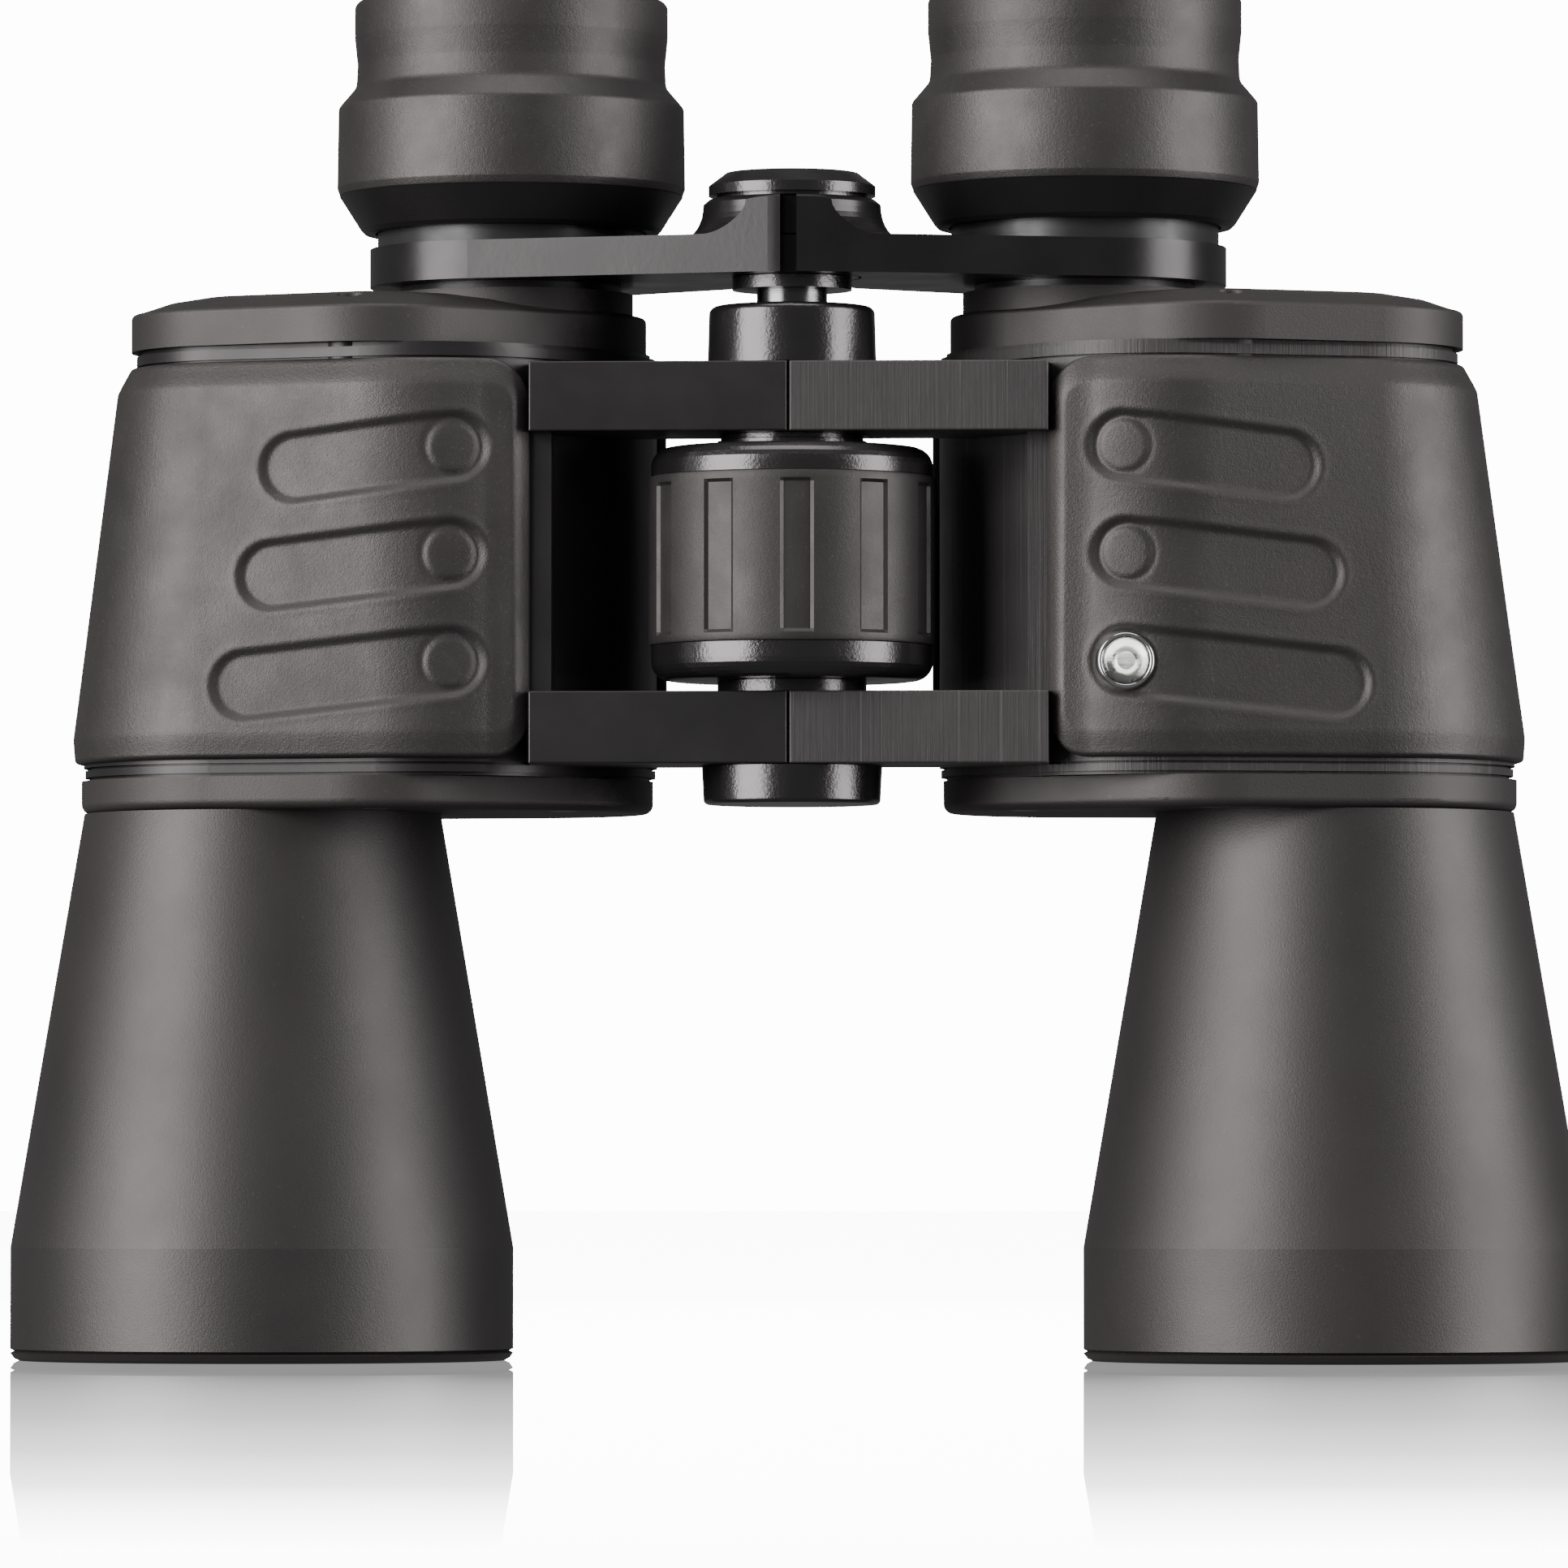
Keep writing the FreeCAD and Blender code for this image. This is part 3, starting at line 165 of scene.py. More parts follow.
def moulded_rubber(name, value, roughness, grain=1.0):
    """Fine-grained matte rubber with faint blotches and pale specks of dust."""
    finish = Finish(name, grey(value, 0.1), roughness, Specular_IOR_Level=0.8)
    finish.set("Specular Tint", WARM_SHEEN)
    finish.vary_roughness(finish.noise(140, 3), roughness - 0.05, roughness + 0.06)
    finish.mix_color(finish.noise(55, 5, 0.6), 0.35, 0.75, 0.35, grey(value * 1.5, 0.25))
    finish.mix_color(finish.noise(2600, 2, 0.5), 0.64, 0.74, 0.5, grey(value * 4, 0.1))
    finish.bump(finish.noise(4800, 3, 0.6), 0.00007 * grain, 0.7)
    finish.bump(finish.noise(1700, 3, 0.5), 0.00007 * grain, 0.4)
    return finish.material


def soft_coating(name, value, roughness):
    """Sprayed matte coating of the barrels: very fine grain, cloudy sheen, long faint rubs."""
    finish = Finish(name, grey(value, 0.1), roughness, Specular_IOR_Level=0.8)
    finish.set("Specular Tint", WARM_SHEEN)
    finish.vary_roughness(finish.noise(38, 5, 0.6), roughness - 0.04, roughness + 0.05)
    finish.mix_color(finish.noise(18, 6, 0.65), 0.4, 0.72, 0.5, grey(value * 1.4, 0.25))
    rubs = finish.noise(1.0, 3, 0.5, finish.stretched((260, 260, 34)))
    finish.mix_color(rubs, 0.66, 0.8, 0.3, grey(value * 1.8, 0.15))
    finish.mix_color(finish.noise(1900, 2, 0.5), 0.68, 0.76, 0.4, grey(value * 4, 0.1))
    finish.bump(finish.noise(4300, 3, 0.55), 0.00005, 0.6)
    return finish.material


def paint(name, value, roughness, peel, specular=0.5, peel_scale=1500):
    """Sprayed paint with orange peel of a given depth (m).  Returns the Finish."""
    finish = Finish(name, grey(value, 0.06), roughness, Specular_IOR_Level=specular)
    finish.set("Specular Tint", PAINT_SHEEN)
    finish.vary_roughness(finish.noise(120, 4), max(LEAST_ROUGHNESS, roughness - 0.04),
                          roughness + 0.05)
    finish.mix_color(finish.noise(30, 5), 0.35, 0.75, 0.4, grey(value * 1.4, 0.1))
    finish.bump(finish.noise(peel_scale, 2, 0.5), peel, 0.6)
    finish.bump(finish.noise(4200, 2, 0.5), peel * 0.4, 0.5)
    return finish


def lit_milled_paint(name, value, roughness):
    """Paint over a milled face: fine upright tool lines show through, with painted highlight
    streaks.
    """
    finish = paint(name, value, roughness, 0.00002)
    lines = finish.noise(1.0, 4, 0.7, finish.stretched((2600, 40, 26)))
    finish.bump(lines, 0.00012, 0.6)
    # pale upright streaks: painted highlights on the tool lines
    highlight_streaks = finish.noise(1.0, 2, 0.6, finish.stretched((1400, 30, 10)))
    finish.mix_color(highlight_streaks, 0.62, 0.76, 0.5, grey(value * 3))
    return finish.material


def turned_metal(name, color, roughness, metallic=1.0):
    """Lathe-turned metal: fine rings round the vertical axis."""
    finish = Finish(name, color, roughness, metallic)
    rings = finish.noise(1.0, 3, 0.6, finish.stretched((40, 40, 5200)))
    finish.bump(rings, 0.00003, 0.6)
    finish.vary_roughness(finish.noise(300, 3), max(LEAST_ROUGHNESS, roughness - 0.06),
                          roughness + 0.08)
    finish.mix_color(finish.noise(90, 4), 0.35, 0.75, 0.3, tuple(c * 0.7 for c in color))
    return finish.material


CROWN_IOR = 1.52
COATING_IOR = 1.38


def optical_glass(name, tint, film):
    """Clear glass with a trace of dust, under a coating of a given thickness (nm)."""
    finish = Finish(name, tint, 0.02, Transmission_Weight=1.0, IOR=CROWN_IOR)
    finish.set("Thin Film Thickness", film)
    finish.set("Thin Film IOR", COATING_IOR)
    finish.vary_roughness(finish.noise(220, 5), 0.01, 0.05)
    return finish.material


# the finish of each material slot in the record
FINISHES = {
    "armor_rubber": moulded_rubber("armor_rubber", 0.017, 0.50),
    "eyecup_rubber": moulded_rubber("eyecup_rubber", 0.015, 0.49, 0.8),
    "grip_rubber": moulded_rubber("grip_rubber", 0.010, 0.54, 0.5),
    "barrel_paint": soft_coating("barrel_paint", 0.013, 0.50),
    "cover_paint": soft_coating("cover_paint", 0.015, 0.58),
    "case_paint": paint("case_paint", 0.013, 0.40, 0.000015).material,
    "bridge_paint": paint("bridge_paint", 0.009, 0.30, 0.000012).material,
    # three times lighter than case_paint: painted light, the right housing made brighter where the
    # right half is lit
    "lit_milled_paint": lit_milled_paint("lit_milled_paint", 0.040, 0.46),
    "gloss_black": paint("gloss_black", 0.010, 0.24, 0.00005, specular=0.9,
                         peel_scale=2600).material,
    "shell_plastic": paint("shell_plastic", 0.008, 0.40, 0.00002).material,
    "black_anodised": turned_metal("black_anodised", grey(0.03), 0.38, 0.3),
    "screw_steel": turned_metal("screw_steel", grey(0.10), 0.35),
    "plated_steel": turned_metal("plated_steel", grey(0.16), 0.22),
    "spring_steel": turned_metal("spring_steel", grey(0.5), 0.25),
    "brass_bush": turned_metal("brass_bush", (0.62, 0.44, 0.16), 0.3),
    "prism_glass": optical_glass("prism_glass", (0.94, 0.98, 0.96), 0.0),
    "coated_glass": optical_glass("coated_glass", (0.86, 0.88, 0.98), 430.0),
    "badge": turned_metal("badge", grey(0.75), 0.10),
}
# the badge's disc and dome look different from the rest of their slots
BRUSHED_DISC = turned_metal("brushed_disc", grey(0.30), 0.30)
CLEAR_RESIN = optical_glass("clear_resin", (0.98, 0.98, 0.96), 0.0)


def wear(obj, slot, material=None):
    """Give a piece the finish of its record slot, or another material when one is given."""
    obj.data.materials.clear()
    obj.data.materials.append(material or FINISHES[slot])


# ---------------------------------------------------------------------------
# Mesh building
# ---------------------------------------------------------------------------
MERGE_DISTANCE = 1e-7           # metres


def make_piece(name, points, faces, slot, body, replaces=(), crease=34.0, material=None):
    """A mesh piece from points in millimetres, shaded smooth up to a crease angle."""
    mesh = bpy.data.meshes.new(name)
    mesh.from_pydata([(x * MM, y * MM, z * MM) for x, y, z in points], [], faces)
    mesh.validate()
    work = bmesh.new()
    work.from_mesh(mesh)
    bmesh.ops.remove_doubles(work, verts=work.verts, dist=MERGE_DISTANCE)
    bmesh.ops.recalc_face_normals(work, faces=work.faces)
    work.to_mesh(mesh)
    work.free()
    mesh.shade_smooth()
    mesh.set_sharp_from_angle(angle=math.radians(crease))
    piece = bpy.data.objects.new(name, mesh)
    bpy.context.scene.collection.objects.link(piece)
    wear(piece, slot, material)
    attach(piece, body)
    if replaces:
        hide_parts(*replaces)


NEARLY_HALF = 0.49              # the most of a side that one rounded corner may take


def rounded(profile, steps=5):
    """Round the corners of an open (radius, z[, corner radius]) profile with arcs."""
    out = []
    for i, corner in enumerate(profile):
        here = Vector(corner[:2])
        radius = corner[2] if len(corner) > 2 else 0.0
        if radius <= 0 or i in (0, len(profile) - 1):
            out.append(tuple(here))
            continue
        before = Vector(profile[i - 1][:2]) - here
        after = Vector(profile[i + 1][:2]) - here
        half = before.angle(after) / 2
        reach = min(radius / math.tan(half), before.length * NEARLY_HALF,
                    after.length * NEARLY_HALF)
        radius = reach * math.tan(half)
        middle = (before.normalized() + after.normalized()).normalized()
        centre = here + middle * (radius / math.sin(half))
        start = here + before.normalized() * reach - centre
        end = here + after.normalized() * reach - centre
        sweep = start.angle_signed(end)
        for k in range(steps + 1):
            turn = -sweep * k / steps
            out.append((centre.x + start.x * math.cos(turn) - start.y * math.sin(turn),
                        centre.y + start.x * math.sin(turn) + start.y * math.cos(turn)))
    return out


def lathe(profile, segments, x=0.0, y=0.0):
    """Points and faces of a profile turned about a vertical axis at (x, y).

    Points of radius 0 close the form."""
    points, faces, rows = [], [], []
    for radius, z in profile:
        if radius < 1e-6:
            rows.append([len(points)])
            points.append((x, y, z))
            continue
        row = []
        for k in range(segments):
            angle = 2 * math.pi * k / segments
            row.append(len(points))
            points.append((x + radius * math.cos(angle), y + radius * math.sin(angle), z))
        rows.append(row)
    for low, high in zip(rows, rows[1:]):
        for k in range(segments):
            j = (k + 1) % segments
            if len(low) == 1 and len(high) == 1:
                continue
            if len(low) == 1:
                faces.append((low[0], high[j], high[k]))
            elif len(high) == 1:
                faces.append((low[k], low[j], high[0]))
            else:
                faces.append((low[k], low[j], high[j], high[k]))
    return points, faces


def closed(profile):
    """A ring profile that ends where it starts."""
    return profile + [profile[0]]


# ---------------------------------------------------------------------------
# Plan of the housing: circles (x, y, radius) of the right half, counter-clockwise,
# at the foot and at the head of the jacket
# ---------------------------------------------------------------------------
INNER_Y = EYEPIECE.y + 1.0
FOOT_CIRCLES = [(45.5, EYEPIECE.y - 5.75, 21.0), (OBJECTIVE.x, OBJECTIVE.y, 22.1),
                (EYEPIECE.x, INNER_Y, 18.0)]
HEAD_CIRCLES = [(45.5, EYEPIECE.y - 6.25, 21.0), (66.0, EYEPIECE.y - 5.0, 15.5),
                (EYEPIECE.x, INNER_Y, 18.0)]


ARC_STEPS = 60                  # on each circle


def hull_path(circles, start_deg, end_deg):
    """Points and outward normals along the band round the circles.

    It runs from one outward angle on the first circle to another on the last."""
    joints = []
    for (x0, y0, r0), (x1, y1, r1) in zip(circles, circles[1:]):
        gap = math.hypot(x1 - x0, y1 - y0)
        ax, ay = (x1 - x0) / gap, (y1 - y0) / gap
        lean = (r0 - r1) / gap
        out = math.sqrt(1 - lean * lean)
        joints.append(math.atan2(ay * lean - ax * out, ax * lean + ay * out))
    starts = [math.radians(start_deg)] + joints
    ends = joints + [math.radians(end_deg)]
    path = []
    for (x, y, r), start, end in zip(circles, starts, ends):
        sweep = (end - start) % (2 * math.pi)
        for k in range(ARC_STEPS + 1):
            angle = start + sweep * k / ARC_STEPS
            path.append((x + r * math.cos(angle), y + r * math.sin(angle),
                         math.cos(angle), math.sin(angle)))
    return path


def resample(foot, head, distances):
    """The two outlines at given distances along their mean, as pairs of (x, y, nx, ny).

    The second result is the mean's whole length."""
    run = [0.0]
    for i in range(1, len(foot)):
        step = [math.hypot(path[i][0] - path[i - 1][0], path[i][1] - path[i - 1][1])
                for path in (foot, head)]
        run.append(run[-1] + sum(step) / 2)
    out = []
    i = 0
    for distance in distances:
        distance = min(max(distance, 0.0), run[-1])
        while i < len(run) - 2 and run[i + 1] < distance:
            i += 1
        share = (distance - run[i]) / max(run[i + 1] - run[i], 1e-9)
        pair = []
        for path in (foot, head):
            a, b = path[i], path[i + 1]
            pair.append(tuple(a[k] + (b[k] - a[k]) * share for k in range(4)))
        out.append(pair)
    return out, run[-1]


def smooth(low, high, value):
    """0 below low, 1 above high and an S-curve between."""
    share = min(max((value - low) / (high - low), 0.0), 1.0)
    return share * share * (3 - 2 * share)


def graded(length, fine, edge, step, coarse_from, coarse):
    """Distances from 0 to length: fine at both ends, even between, coarse past a distance."""
    marks = [0.0]
    while marks[-1] < length:
        here = marks[-1]
        near_end = min(here, length - here) < edge
        marks.append(here + (fine if near_end else step if here < coarse_from else coarse))
    marks[-1] = length
    return marks


# ---------------------------------------------------------------------------
# Rubber jacket of one housing
# ---------------------------------------------------------------------------
FIELD_T = 1.75                  # thickness of the raised field
BAND_W = 3.2                    # width of the lower band round it
BAND_DROP = 0.6                 # how much lower the band lies
TOP_DROP = 0.6                  # more than that along the top edge
END_DROP = 0.55                 # and along the edge beside the bridge arm
BAND_STRAIGHT = 0.65            # share of the slope from band to field that is straight
CORNER_R = 6.0
CORNER_RUN = 16.0               # how far along the jacket a corner draws the columns in
EDGE_R = 0.6                    # rounding of the outer border
EDGE_T = 0.3                    # thickness at the border
INNER_T = 0.04                  # gap between the case and the jacket's inner face
EDGE_LIFT = 2.0                 # how far the edge beside the bridge arm stands forward
LIFT_RUN = 7.0
FOOT_Z, HEAD_Z = 72.9, 121.9    # levels of the two outlines
START_DEG, END_DEG = 229.0, 172.0
FOOT_MARGIN, HEAD_MARGIN = 0.25, 0.3    # how far it stays above and rises past the CAD jacket
GRID_FINE, GRID_EDGE, GRID_STEP = 0.16, 1.0, 0.27
BACK_FROM, BACK_STEP = 52.0, 0.9        # the plain back has wider columns
FRONT_NY = 0.2                  # only faces that look forward carry slots
SLOT_R = 4.35
SLOT_DEPTH = 0.6
SLOT_LIP = 0.04
PAD_R = 3.3
PAD_RISE = 0.16
PAD_MOAT = 0.12
# finger slots on the right half: outer end (x, z), inner end (x, z)
SLOTS = [((60.1, 108.7), (40.5, 111.0)), ((62.9, 95.6), (40.9, 98.0)),
         ((66.2, 82.3), (40.9, 84.9))]


def slot_relief(x, z):
    """How deep the finger slots go at a point of the front, and their raised pads."""
    relief = 0.0
    for (ax, az), (bx, bz) in SLOTS:
        run_x, run_z = bx - ax, bz - az
        share = ((x - ax) * run_x + (z - az) * run_z) / (run_x ** 2 + run_z ** 2)
        share = min(max(share, 0.0), 1.0)
        away = math.hypot(x - ax - run_x * share, z - az - run_z * share)
        if away > SLOT_R + 1.2:
            continue
        inside = smooth(SLOT_R + 0.25, SLOT_R - 0.95, away)
        lip = SLOT_LIP * math.exp(-((away - SLOT_R - 0.45) / 0.4) ** 2)
        pad = math.hypot(x - bx, z - bz)
        raised = PAD_RISE * smooth(PAD_R + 0.2, PAD_R - 0.8, pad)
        moat = PAD_MOAT * math.exp(-((pad - PAD_R - 0.1) / 0.4) ** 2)
        relief += lip - SLOT_DEPTH * inside + raised - moat * inside
    return relief


def slab_faces(rows, columns):
    """Faces of an outer and an inner grid of points, and of the border that joins them."""
    count = rows * columns
    faces = []
    for r in range(rows - 1):
        for c in range(columns - 1):
            a, b = r * columns + c, r * columns + c + 1
            faces.append((a, b, b + columns, a + columns))
            faces.append((count + a, count + a + columns, count + b + columns, count + b))
    border = [(r * columns, (r + 1) * columns) for r in range(rows - 1)]
    border += [((rows - 1) * columns + c, (rows - 1) * columns + c + 1)
               for c in range(columns - 1)]
    border += [((r + 1) * columns - 1, r * columns + columns - 1)
               for r in range(rows - 1, 0, -1)]
    border += [(c + 1, c) for c in range(columns - 1)]
    for a, b in border:
        faces.append((a, b, count + b, count + a))
    return faces


def jacket(side):
    """The moulded rubber jacket: raised field, lower band, rounded corners, finger slots."""
    sign = SIDES[side]
    bottom = level(f"{side}_armor", False) + FOOT_MARGIN
    top = level(f"{side}_armor", True) + HEAD_MARGIN
    foot = hull_path(FOOT_CIRCLES, START_DEG, END_DEG)
    head = hull_path(HEAD_CIRCLES, START_DEG, END_DEG)
    length = resample(foot, head, [0.0])[1]
    across = graded(length, GRID_FINE, GRID_EDGE, GRID_STEP, BACK_FROM, BACK_STEP)
    rise = graded(top - bottom, GRID_FINE, GRID_EDGE, GRID_STEP, math.inf, GRID_STEP)
    outer, inner = [], []
    for up in rise:
        z = bottom + up
        edge_z = min(up, top - bottom - up)
        inset = 0.0
        if edge_z < CORNER_R:
            inset = CORNER_R - math.sqrt(CORNER_R ** 2 - (CORNER_R - edge_z) ** 2)
        shifted = []
        for s in across:
            front_pull = inset * (1 - smooth(0.0, CORNER_RUN, s))
            back_pull = inset * (1 - smooth(0.0, CORNER_RUN, length - s))
            shifted.append(s + front_pull - back_pull)
        places, _ = resample(foot, head, shifted)
        share = (z - FOOT_Z) / (HEAD_Z - FOOT_Z)
        for s, (low, high) in zip(shifted, places):
            x, y, nx, ny = (low[k] + (high[k] - low[k]) * share for k in range(4))
            edge_s = min(s, length - s)
            # distance to the rounded border, and how much the nearest edge is the top one
            qx, qz = CORNER_R - edge_s, CORNER_R - edge_z
            if qx > 0 and qz > 0:
                border = CORNER_R - math.hypot(qx, qz)
                upright = qz / max(math.hypot(qx, qz), 1e-6)
            else:
                border = min(edge_s, edge_z)
                upright = 1.0 if edge_z < edge_s else 0.0
            border = max(border, 0.0)
            is_top = upright ** 2 if up > (top - bottom) / 2 else 0.0
            is_end = (1 - upright) if s < length / 2 else 0.0
            drop = BAND_DROP + TOP_DROP * is_top + END_DROP * is_end
            slope = min(border / BAND_W, 1.0)
            soft = smooth(0.0, 1.0, slope) * (1 - BAND_STRAIGHT) + slope * BAND_STRAIGHT
            t = FIELD_T - drop * (1 - soft)
            if border < EDGE_R:
                t -= (t - EDGE_T) * (1 - math.sqrt(max(0.0, 1 - (1 - border / EDGE_R) ** 2)))
            if ny < FRONT_NY:
                t += slot_relief(x + nx * t, z)
            lift = EDGE_LIFT * (1 - smooth(0.0, LIFT_RUN, s))
            outer.append((sign * (x + nx * t), y + ny * t - lift, z))
            inner.append((sign * (x + nx * INNER_T), y + ny * INNER_T, z))
    make_piece(f"{side}_jacket", outer + inner, slab_faces(len(rise), len(across)),
               "armor_rubber", f"{side}_half", [f"{side}_armor"], crease=50.0)


# ---------------------------------------------------------------------------
# Eyecups and the focus wheel's grip
# ---------------------------------------------------------------------------
def eyecup(side):
    """Rubber cup: straight skirt, shoulder, waist and a rolled lip."""
    sign = SIDES[side]
    foot = level(f"{side}_eyecup", False)
    top = level(f"{side}_eyecup", True)
    profile = rounded([
        (18.2, foot), (21.15, foot, 0.3), (21.5, foot + 1.0, 0.6), (21.35, top - 13.3, 0.9),
        (19.15, top - 10.7, 1.6), (19.0, top - 8.0, 3.0), (19.35, top - 4.6, 3.0),
        (19.35, top, 1.4), (17.2, top, 0.8), (17.2, top - 10.6, 0.5), (18.2, top - 11.3, 0.2),
        (18.2, foot)], steps=6)
    points, faces = lathe(profile, 200, sign * EYEPIECE.x, EYEPIECE.y)
    body = "bridge_carriage" if side == "left" else "right_eyepiece"
    make_piece(f"{side}_rubber_eyecup", points, faces, "eyecup_rubber", body,
               [f"{side}_eyecup"], crease=60.0)


GRIP_R, GRIP_CORE_R = 17.5, 15.4
GRIP_EDGE_R = 0.4               # rounding of the sleeve's ends
PANELS = 11                     # sunk panels round the sleeve
PANEL_OUT, PANEL_IN = 2.05, 1.65        # half of a panel's width at its rim and at its floor
PANEL_DEPTH = 0.38
PANEL_MARGIN = 1.05             # from a panel to the end of the sleeve
PANEL_ROWS, GAP_COLUMNS = 12, 7
FIRST_PANEL_DEG = 4.5           # how far the first panel stands off the front
CLOSE = 1e-6                    # allowance when levels and distances are compared


def wheel_grip():
    """Rubber sleeve with sunk rectangular panels, each with bevelled sides."""
    low, high = level("focus_wheel_grip", False), level("focus_wheel_grip", True)
    bevel = PANEL_OUT - PANEL_IN
    floor_low = low + PANEL_MARGIN + bevel
    floor_high = high - PANEL_MARGIN - bevel
    heights = [low, low + 0.12, low + GRIP_EDGE_R, low + PANEL_MARGIN, floor_low]
    middle = [floor_low + (floor_high - floor_low) * k / PANEL_ROWS
              for k in range(1, PANEL_ROWS)]
    heights += middle + [high + low - z for z in heights[::-1]]
    marks = [-PANEL_OUT, -PANEL_IN, -0.8, 0.0, 0.8, PANEL_IN, PANEL_OUT]
    pitch = 2 * math.pi / PANELS
    gap = pitch * GRIP_R - 2 * PANEL_OUT
    marks += [PANEL_OUT + gap * k / GAP_COLUMNS for k in range(1, GAP_COLUMNS)]
    angles = [math.radians(-90 + FIRST_PANEL_DEG) + pitch * p + mark / GRIP_R
              for p in range(PANELS) for mark in marks]
    points, faces = [], []
    for z in heights:
        on_floor = floor_low <= z + CLOSE and z - CLOSE <= floor_high
        end = min(z - low, high - z, GRIP_EDGE_R)
        rounding = math.sqrt(max(0.0, GRIP_EDGE_R ** 2 - (GRIP_EDGE_R - end) ** 2))
        rim = GRIP_R - (GRIP_EDGE_R - rounding)
        for angle, mark in zip(angles, marks * PANELS):
            sunk = on_floor and abs(mark) <= PANEL_IN + CLOSE
            r = rim - (PANEL_DEPTH if sunk else 0.0)
            points.append((r * math.cos(angle), HINGE.y + r * math.sin(angle), z))
    for z in (high, low):
        for angle in angles:
            points.append((GRIP_CORE_R * math.cos(angle),
                           HINGE.y + GRIP_CORE_R * math.sin(angle), z))
    columns = len(angles)
    rings = len(heights) + 2
    for a in range(rings):
        b = (a + 1) % rings
        for c in range(columns):
            d = (c + 1) % columns
            faces.append((a * columns + c, a * columns + d, b * columns + d, b * columns + c))
    make_piece("wheel_rubber_grip", points, faces, "grip_rubber", "focus_wheel",
               ["focus_wheel_grip"], crease=25.0)


def facing_front(points, x, y, z):
    """Stand a turned form on the front: its axis points at the viewer from (x, y, z)."""
    return [(x + px, y - pz, z + py) for px, py, pz in points]


BADGE_SEGMENTS = 72
DOME_R, DOME_FOOT, DOME_RISE = 2.70, 0.28, 0.45


def badge():
    """Bright rim and clear dome over a plain metal disc with a low centre and one groove."""
    centre = centre_of("front_badge")
    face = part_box("front_badge")[0].y / MM
    where = (centre.x, face, centre.z)
    rim = closed(rounded([(2.75, -0.2), (2.75, 0.25, 0.1), (3.0, 0.55, 0.2), (3.3, 0.5, 0.2),
                          (3.48, 0.2, 0.1), (3.48, -0.2)]))
    points, faces = lathe(rim, BADGE_SEGMENTS)
    make_piece("badge_rim", facing_front(points, *where), faces, "badge", "right_half",
               crease=50.0)
    disc = [(0.0, 0.24), (1.1, 0.22), (1.25, 0.10), (1.6, 0.02), (1.95, 0.02), (2.15, 0.12),
            (2.74, 0.14), (2.74, -0.1), (0.0, -0.1)]
    points, faces = lathe(disc, BADGE_SEGMENTS)
    make_piece("badge_disc", facing_front(points, *where), faces, "badge", "right_half",
               material=BRUSHED_DISC)
    dome = [(DOME_R * math.sin(math.radians(a)),
             DOME_FOOT + DOME_RISE * math.cos(math.radians(a)))
            for a in range(0, 91, 9)] + [(0.0, DOME_FOOT)]
    points, faces = lathe(dome, BADGE_SEGMENTS)
    make_piece("badge_dome", facing_front(points, *where), faces, "coated_glass", "right_half",
               material=CLEAR_RESIN)


for side in SIDES:
    jacket(side)
    eyecup(side)
wheel_grip()
badge()

# ---------------------------------------------------------------------------
# CAD nodes that keep their shape
# ---------------------------------------------------------------------------
ARM_CREASE_DEG, NODE_CREASE_DEG = 16, 28

slot_of = {part["node"]: part["material_slot"] for part in frame["record"]["subparts"]}
for name, node in nodes.items():
    # the right housing alone gets the lighter milled paint: a lit copy of case_paint, painted
    # light
    milled = name == "right_prism_housing"
    wear(node, slot_of[name], FINISHES["lit_milled_paint"] if milled else None)
    node.data.shade_smooth()
    node.data.set_sharp_from_angle(angle=math.radians(
        ARM_CREASE_DEG if "arm" in name else NODE_CREASE_DEG))


# ---------------------------------------------------------------------------
# Floor, light and camera
# ---------------------------------------------------------------------------
# how far from the middle of the table (m), and how much of a mirror it is there
MIRROR_FADE = [(0.11, 0.975), (0.17, 0.955), (0.26, 0.933), (0.335, 0.917), (0.465, 0.854),
               (0.565, 0.733), (0.645, 0.38), (0.71, 0.0)]
TABLE_HALF = 6.0                # metres
TABLE_GLOW = 11.0


def floor():
    """A bright table top whose soft mirror image fades away from the object."""
    mesh = bpy.data.meshes.new("floor")
    mesh.from_pydata([(x * TABLE_HALF, y * TABLE_HALF, 0)
                      for x, y in ((-1, -1), (1, -1), (1, 1), (-1, 1))], [], [(0, 1, 2, 3)])
    slab = bpy.data.objects.new("floor", mesh)
    bpy.context.scene.collection.objects.link(slab)
    finish = Finish("pale_floor", (0.9, 0.9, 0.9), 0.9, Specular_IOR_Level=0.0,
                    Emission_Strength=TABLE_GLOW)
    finish.set("Emission Color", (1, 1, 1, 1))
    finish.mix_color(finish.noise(0.8, 2), 0.2, 0.8, 0.3, (0.94, 0.94, 0.94))
    tree = finish.tree
    mirror = finish.node("ShaderNodeBsdfGlossy", Roughness=0.0, Color=(0.97, 1.0, 0.98, 1))
    away = finish.node("ShaderNodeVectorMath", Vector=finish.coords)
    away.operation = "LENGTH"
    fade = finish.node("ShaderNodeValToRGB", Fac=finish.ramp(away.outputs["Value"], 0.0, 1.0))
    for stop, (distance, mirrored) in zip((0, -1), (MIRROR_FADE[0], MIRROR_FADE[-1])):
        fade.color_ramp.elements[stop].position = distance
        fade.color_ramp.elements[stop].color = (mirrored, mirrored, mirrored, 1)
    for distance, mirrored in MIRROR_FADE[1:-1]:
        fade.color_ramp.elements.new(distance).color = (mirrored, mirrored, mirrored, 1)
    mix = finish.node("ShaderNodeMixShader", Fac=fade.outputs["Color"])
    tree.links.new(finish.shader.outputs["BSDF"], mix.inputs[1])
    tree.links.new(mirror.outputs["BSDF"], mix.inputs[2])
    tree.links.new(mix.outputs["Shader"], tree.nodes["Material Output"].inputs["Surface"])
    mesh.materials.append(finish.material)
    slab.visible_diffuse = False
    slab.visible_glossy = False


BACKDROP = 14.0                 # brightness of the white surroundings where they are seen directly
FILL = 0.14                     # and of the light they throw on the object
LIGHTS_AIM_Z = 0.08


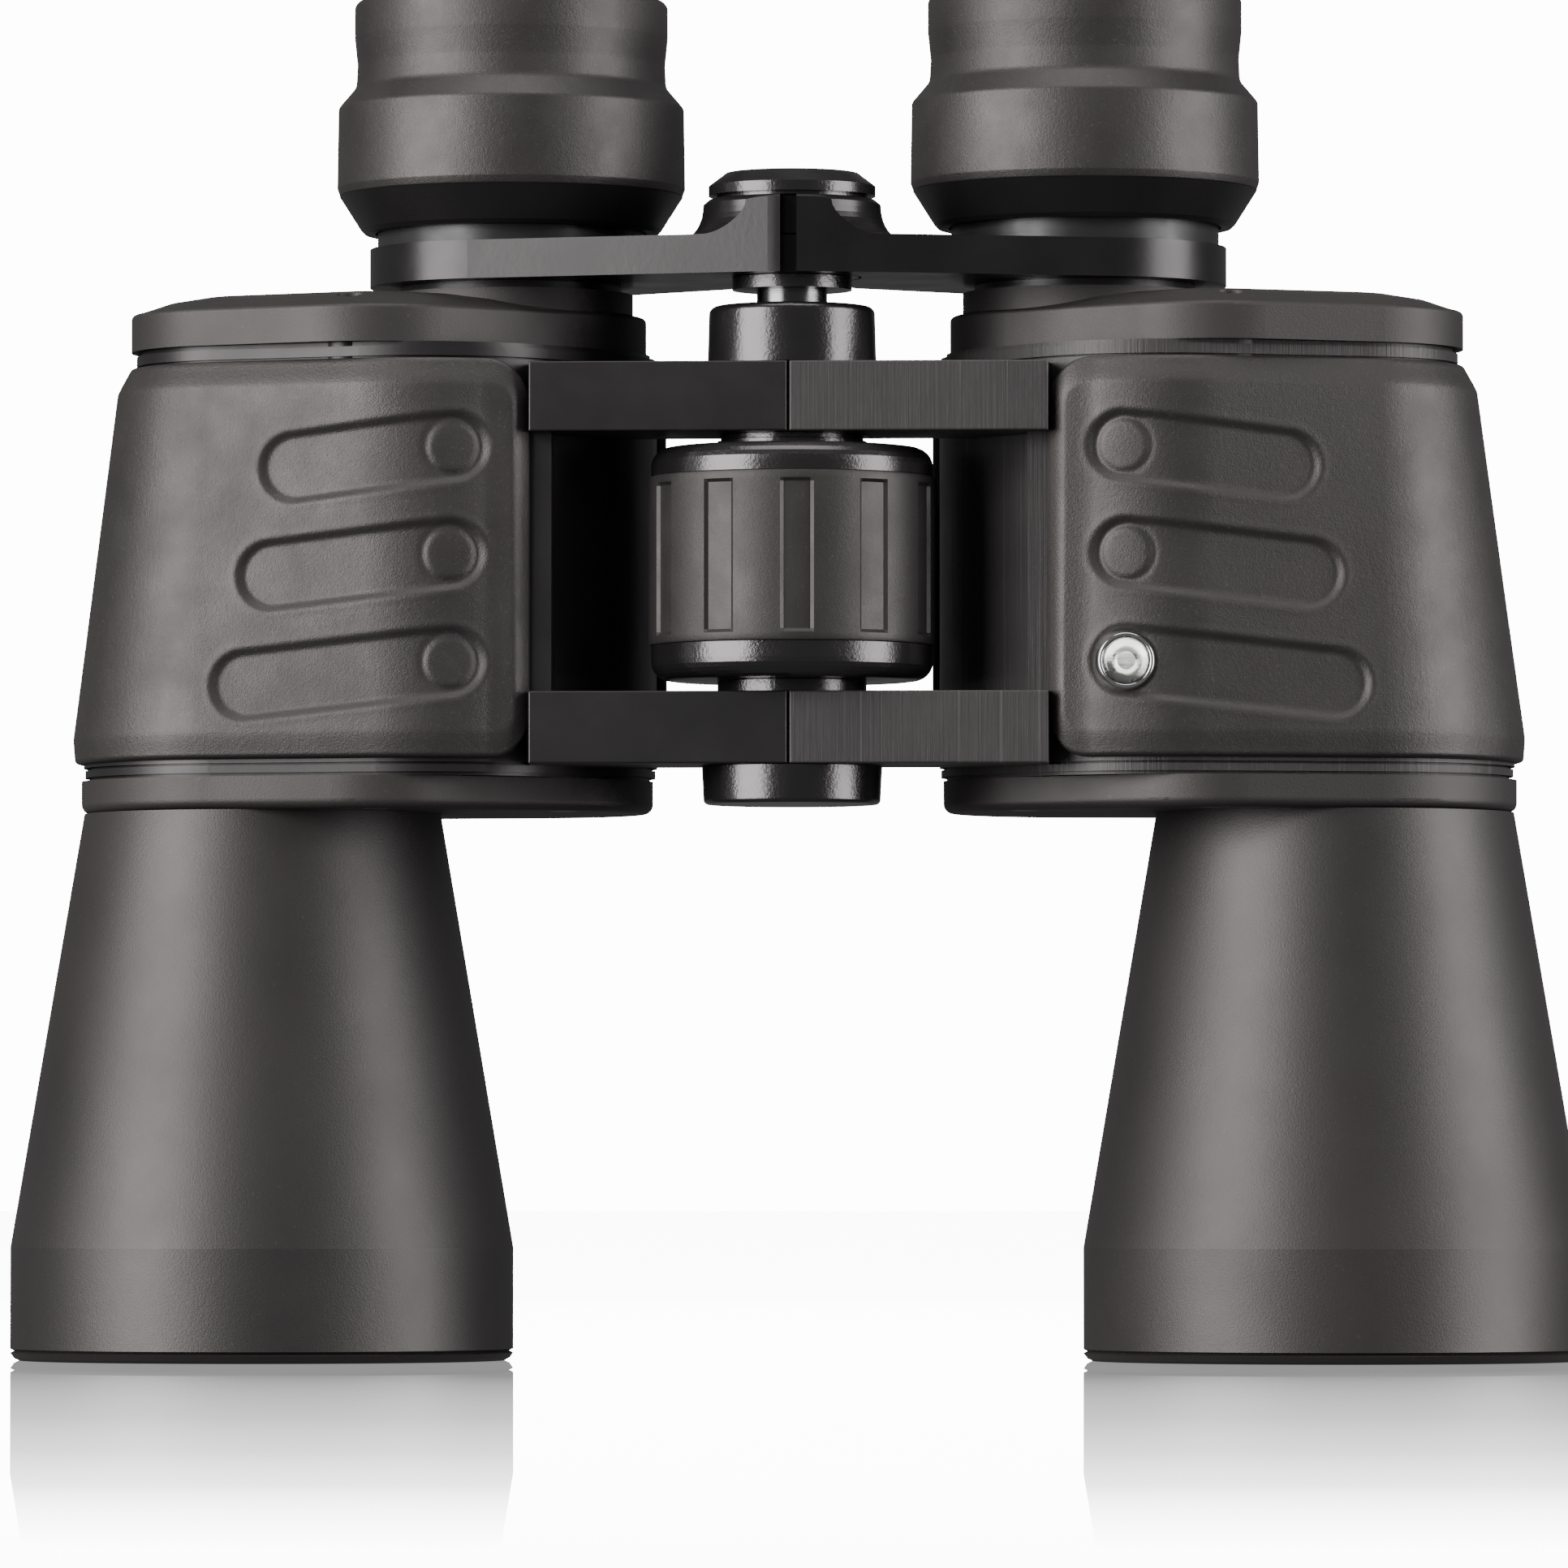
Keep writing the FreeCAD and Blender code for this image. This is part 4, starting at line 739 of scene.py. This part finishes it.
def soft_box(name, azimuth, height, distance, width, tall, power):
    """A rectangular light round the object, aimed at its middle.

    Azimuth is in degrees to the right of the front; lengths are in metres, power in watts."""
    turn = math.radians(azimuth)
    place = Vector((distance * math.sin(turn), -distance * math.cos(turn), height))
    light = bpy.data.lights.new(name, "AREA")
    light.shape = "RECTANGLE"
    light.size, light.size_y = width, tall
    light.energy = power
    lamp = bpy.data.objects.new(name, light)
    lamp.location = place
    aim = Vector((0, 0, LIGHTS_AIM_Z)) - place
    lamp.rotation_euler = aim.to_track_quat("-Z", "Y").to_euler()
    bpy.context.scene.collection.objects.link(lamp)


def studio():
    """White surroundings, a tall soft box each side of the camera and one overhead."""
    world = bpy.data.worlds.new("studio")
    world.use_nodes = True
    tree = world.node_tree
    fill = tree.nodes["Background"]
    fill.inputs["Color"].default_value = (1, 1, 1, 1)
    fill.inputs["Strength"].default_value = FILL
    seen = tree.nodes.new("ShaderNodeBackground")
    seen.inputs["Color"].default_value = (1, 1, 1, 1)
    seen.inputs["Strength"].default_value = BACKDROP
    path = tree.nodes.new("ShaderNodeLightPath")
    direct = tree.nodes.new("ShaderNodeMath")
    direct.operation = "MAXIMUM"
    tree.links.new(path.outputs["Is Camera Ray"], direct.inputs[0])
    tree.links.new(path.outputs["Is Singular Ray"], direct.inputs[1])
    mix = tree.nodes.new("ShaderNodeMixShader")
    tree.links.new(direct.outputs["Value"], mix.inputs["Fac"])
    tree.links.new(fill.outputs[0], mix.inputs[1])
    tree.links.new(seen.outputs[0], mix.inputs[2])
    tree.links.new(mix.outputs[0], tree.nodes["World Output"].inputs["Surface"])
    bpy.context.scene.world = world
    soft_box("key_left", -53, 0.30, 1.7, 1.30, 1.6, 66)
    soft_box("key_right", 76, 0.25, 1.7, 1.05, 1.5, 38)
    soft_box("overhead", 0, 1.9, 0.35, 1.6, 0.9, 16)


SENSOR_MM = 36
EYE_DISTANCE, EYE_AZIMUTH_DEG, EYE_HEIGHT = 1.40, 2.5, 0.02265
TARGET_X, TARGET_HEIGHT = -0.0017, 0.071
FRAME_WIDTH = 0.1932            # what the frame's width spans at the target, in metres


def camera():
    """Almost level with the barrels, a little to the right, and tipped up slightly."""
    azimuth = math.radians(EYE_AZIMUTH_DEG)
    data = bpy.data.cameras.new("camera")
    data.sensor_width = SENSOR_MM
    data.lens = SENSOR_MM * EYE_DISTANCE / FRAME_WIDTH
    data.clip_start, data.clip_end = 0.05, 30
    eye = Vector((EYE_DISTANCE * math.sin(azimuth),
                  OBJECTIVE.y * MM - EYE_DISTANCE * math.cos(azimuth), EYE_HEIGHT))
    target = Vector((TARGET_X, OBJECTIVE.y * MM, TARGET_HEIGHT))
    shot = bpy.data.objects.new("camera", data)
    shot.location = eye
    shot.rotation_euler = (target - eye).to_track_quat("-Z", "Y").to_euler()
    bpy.context.scene.collection.objects.link(shot)
    bpy.context.scene.camera = shot


floor()
studio()
camera()
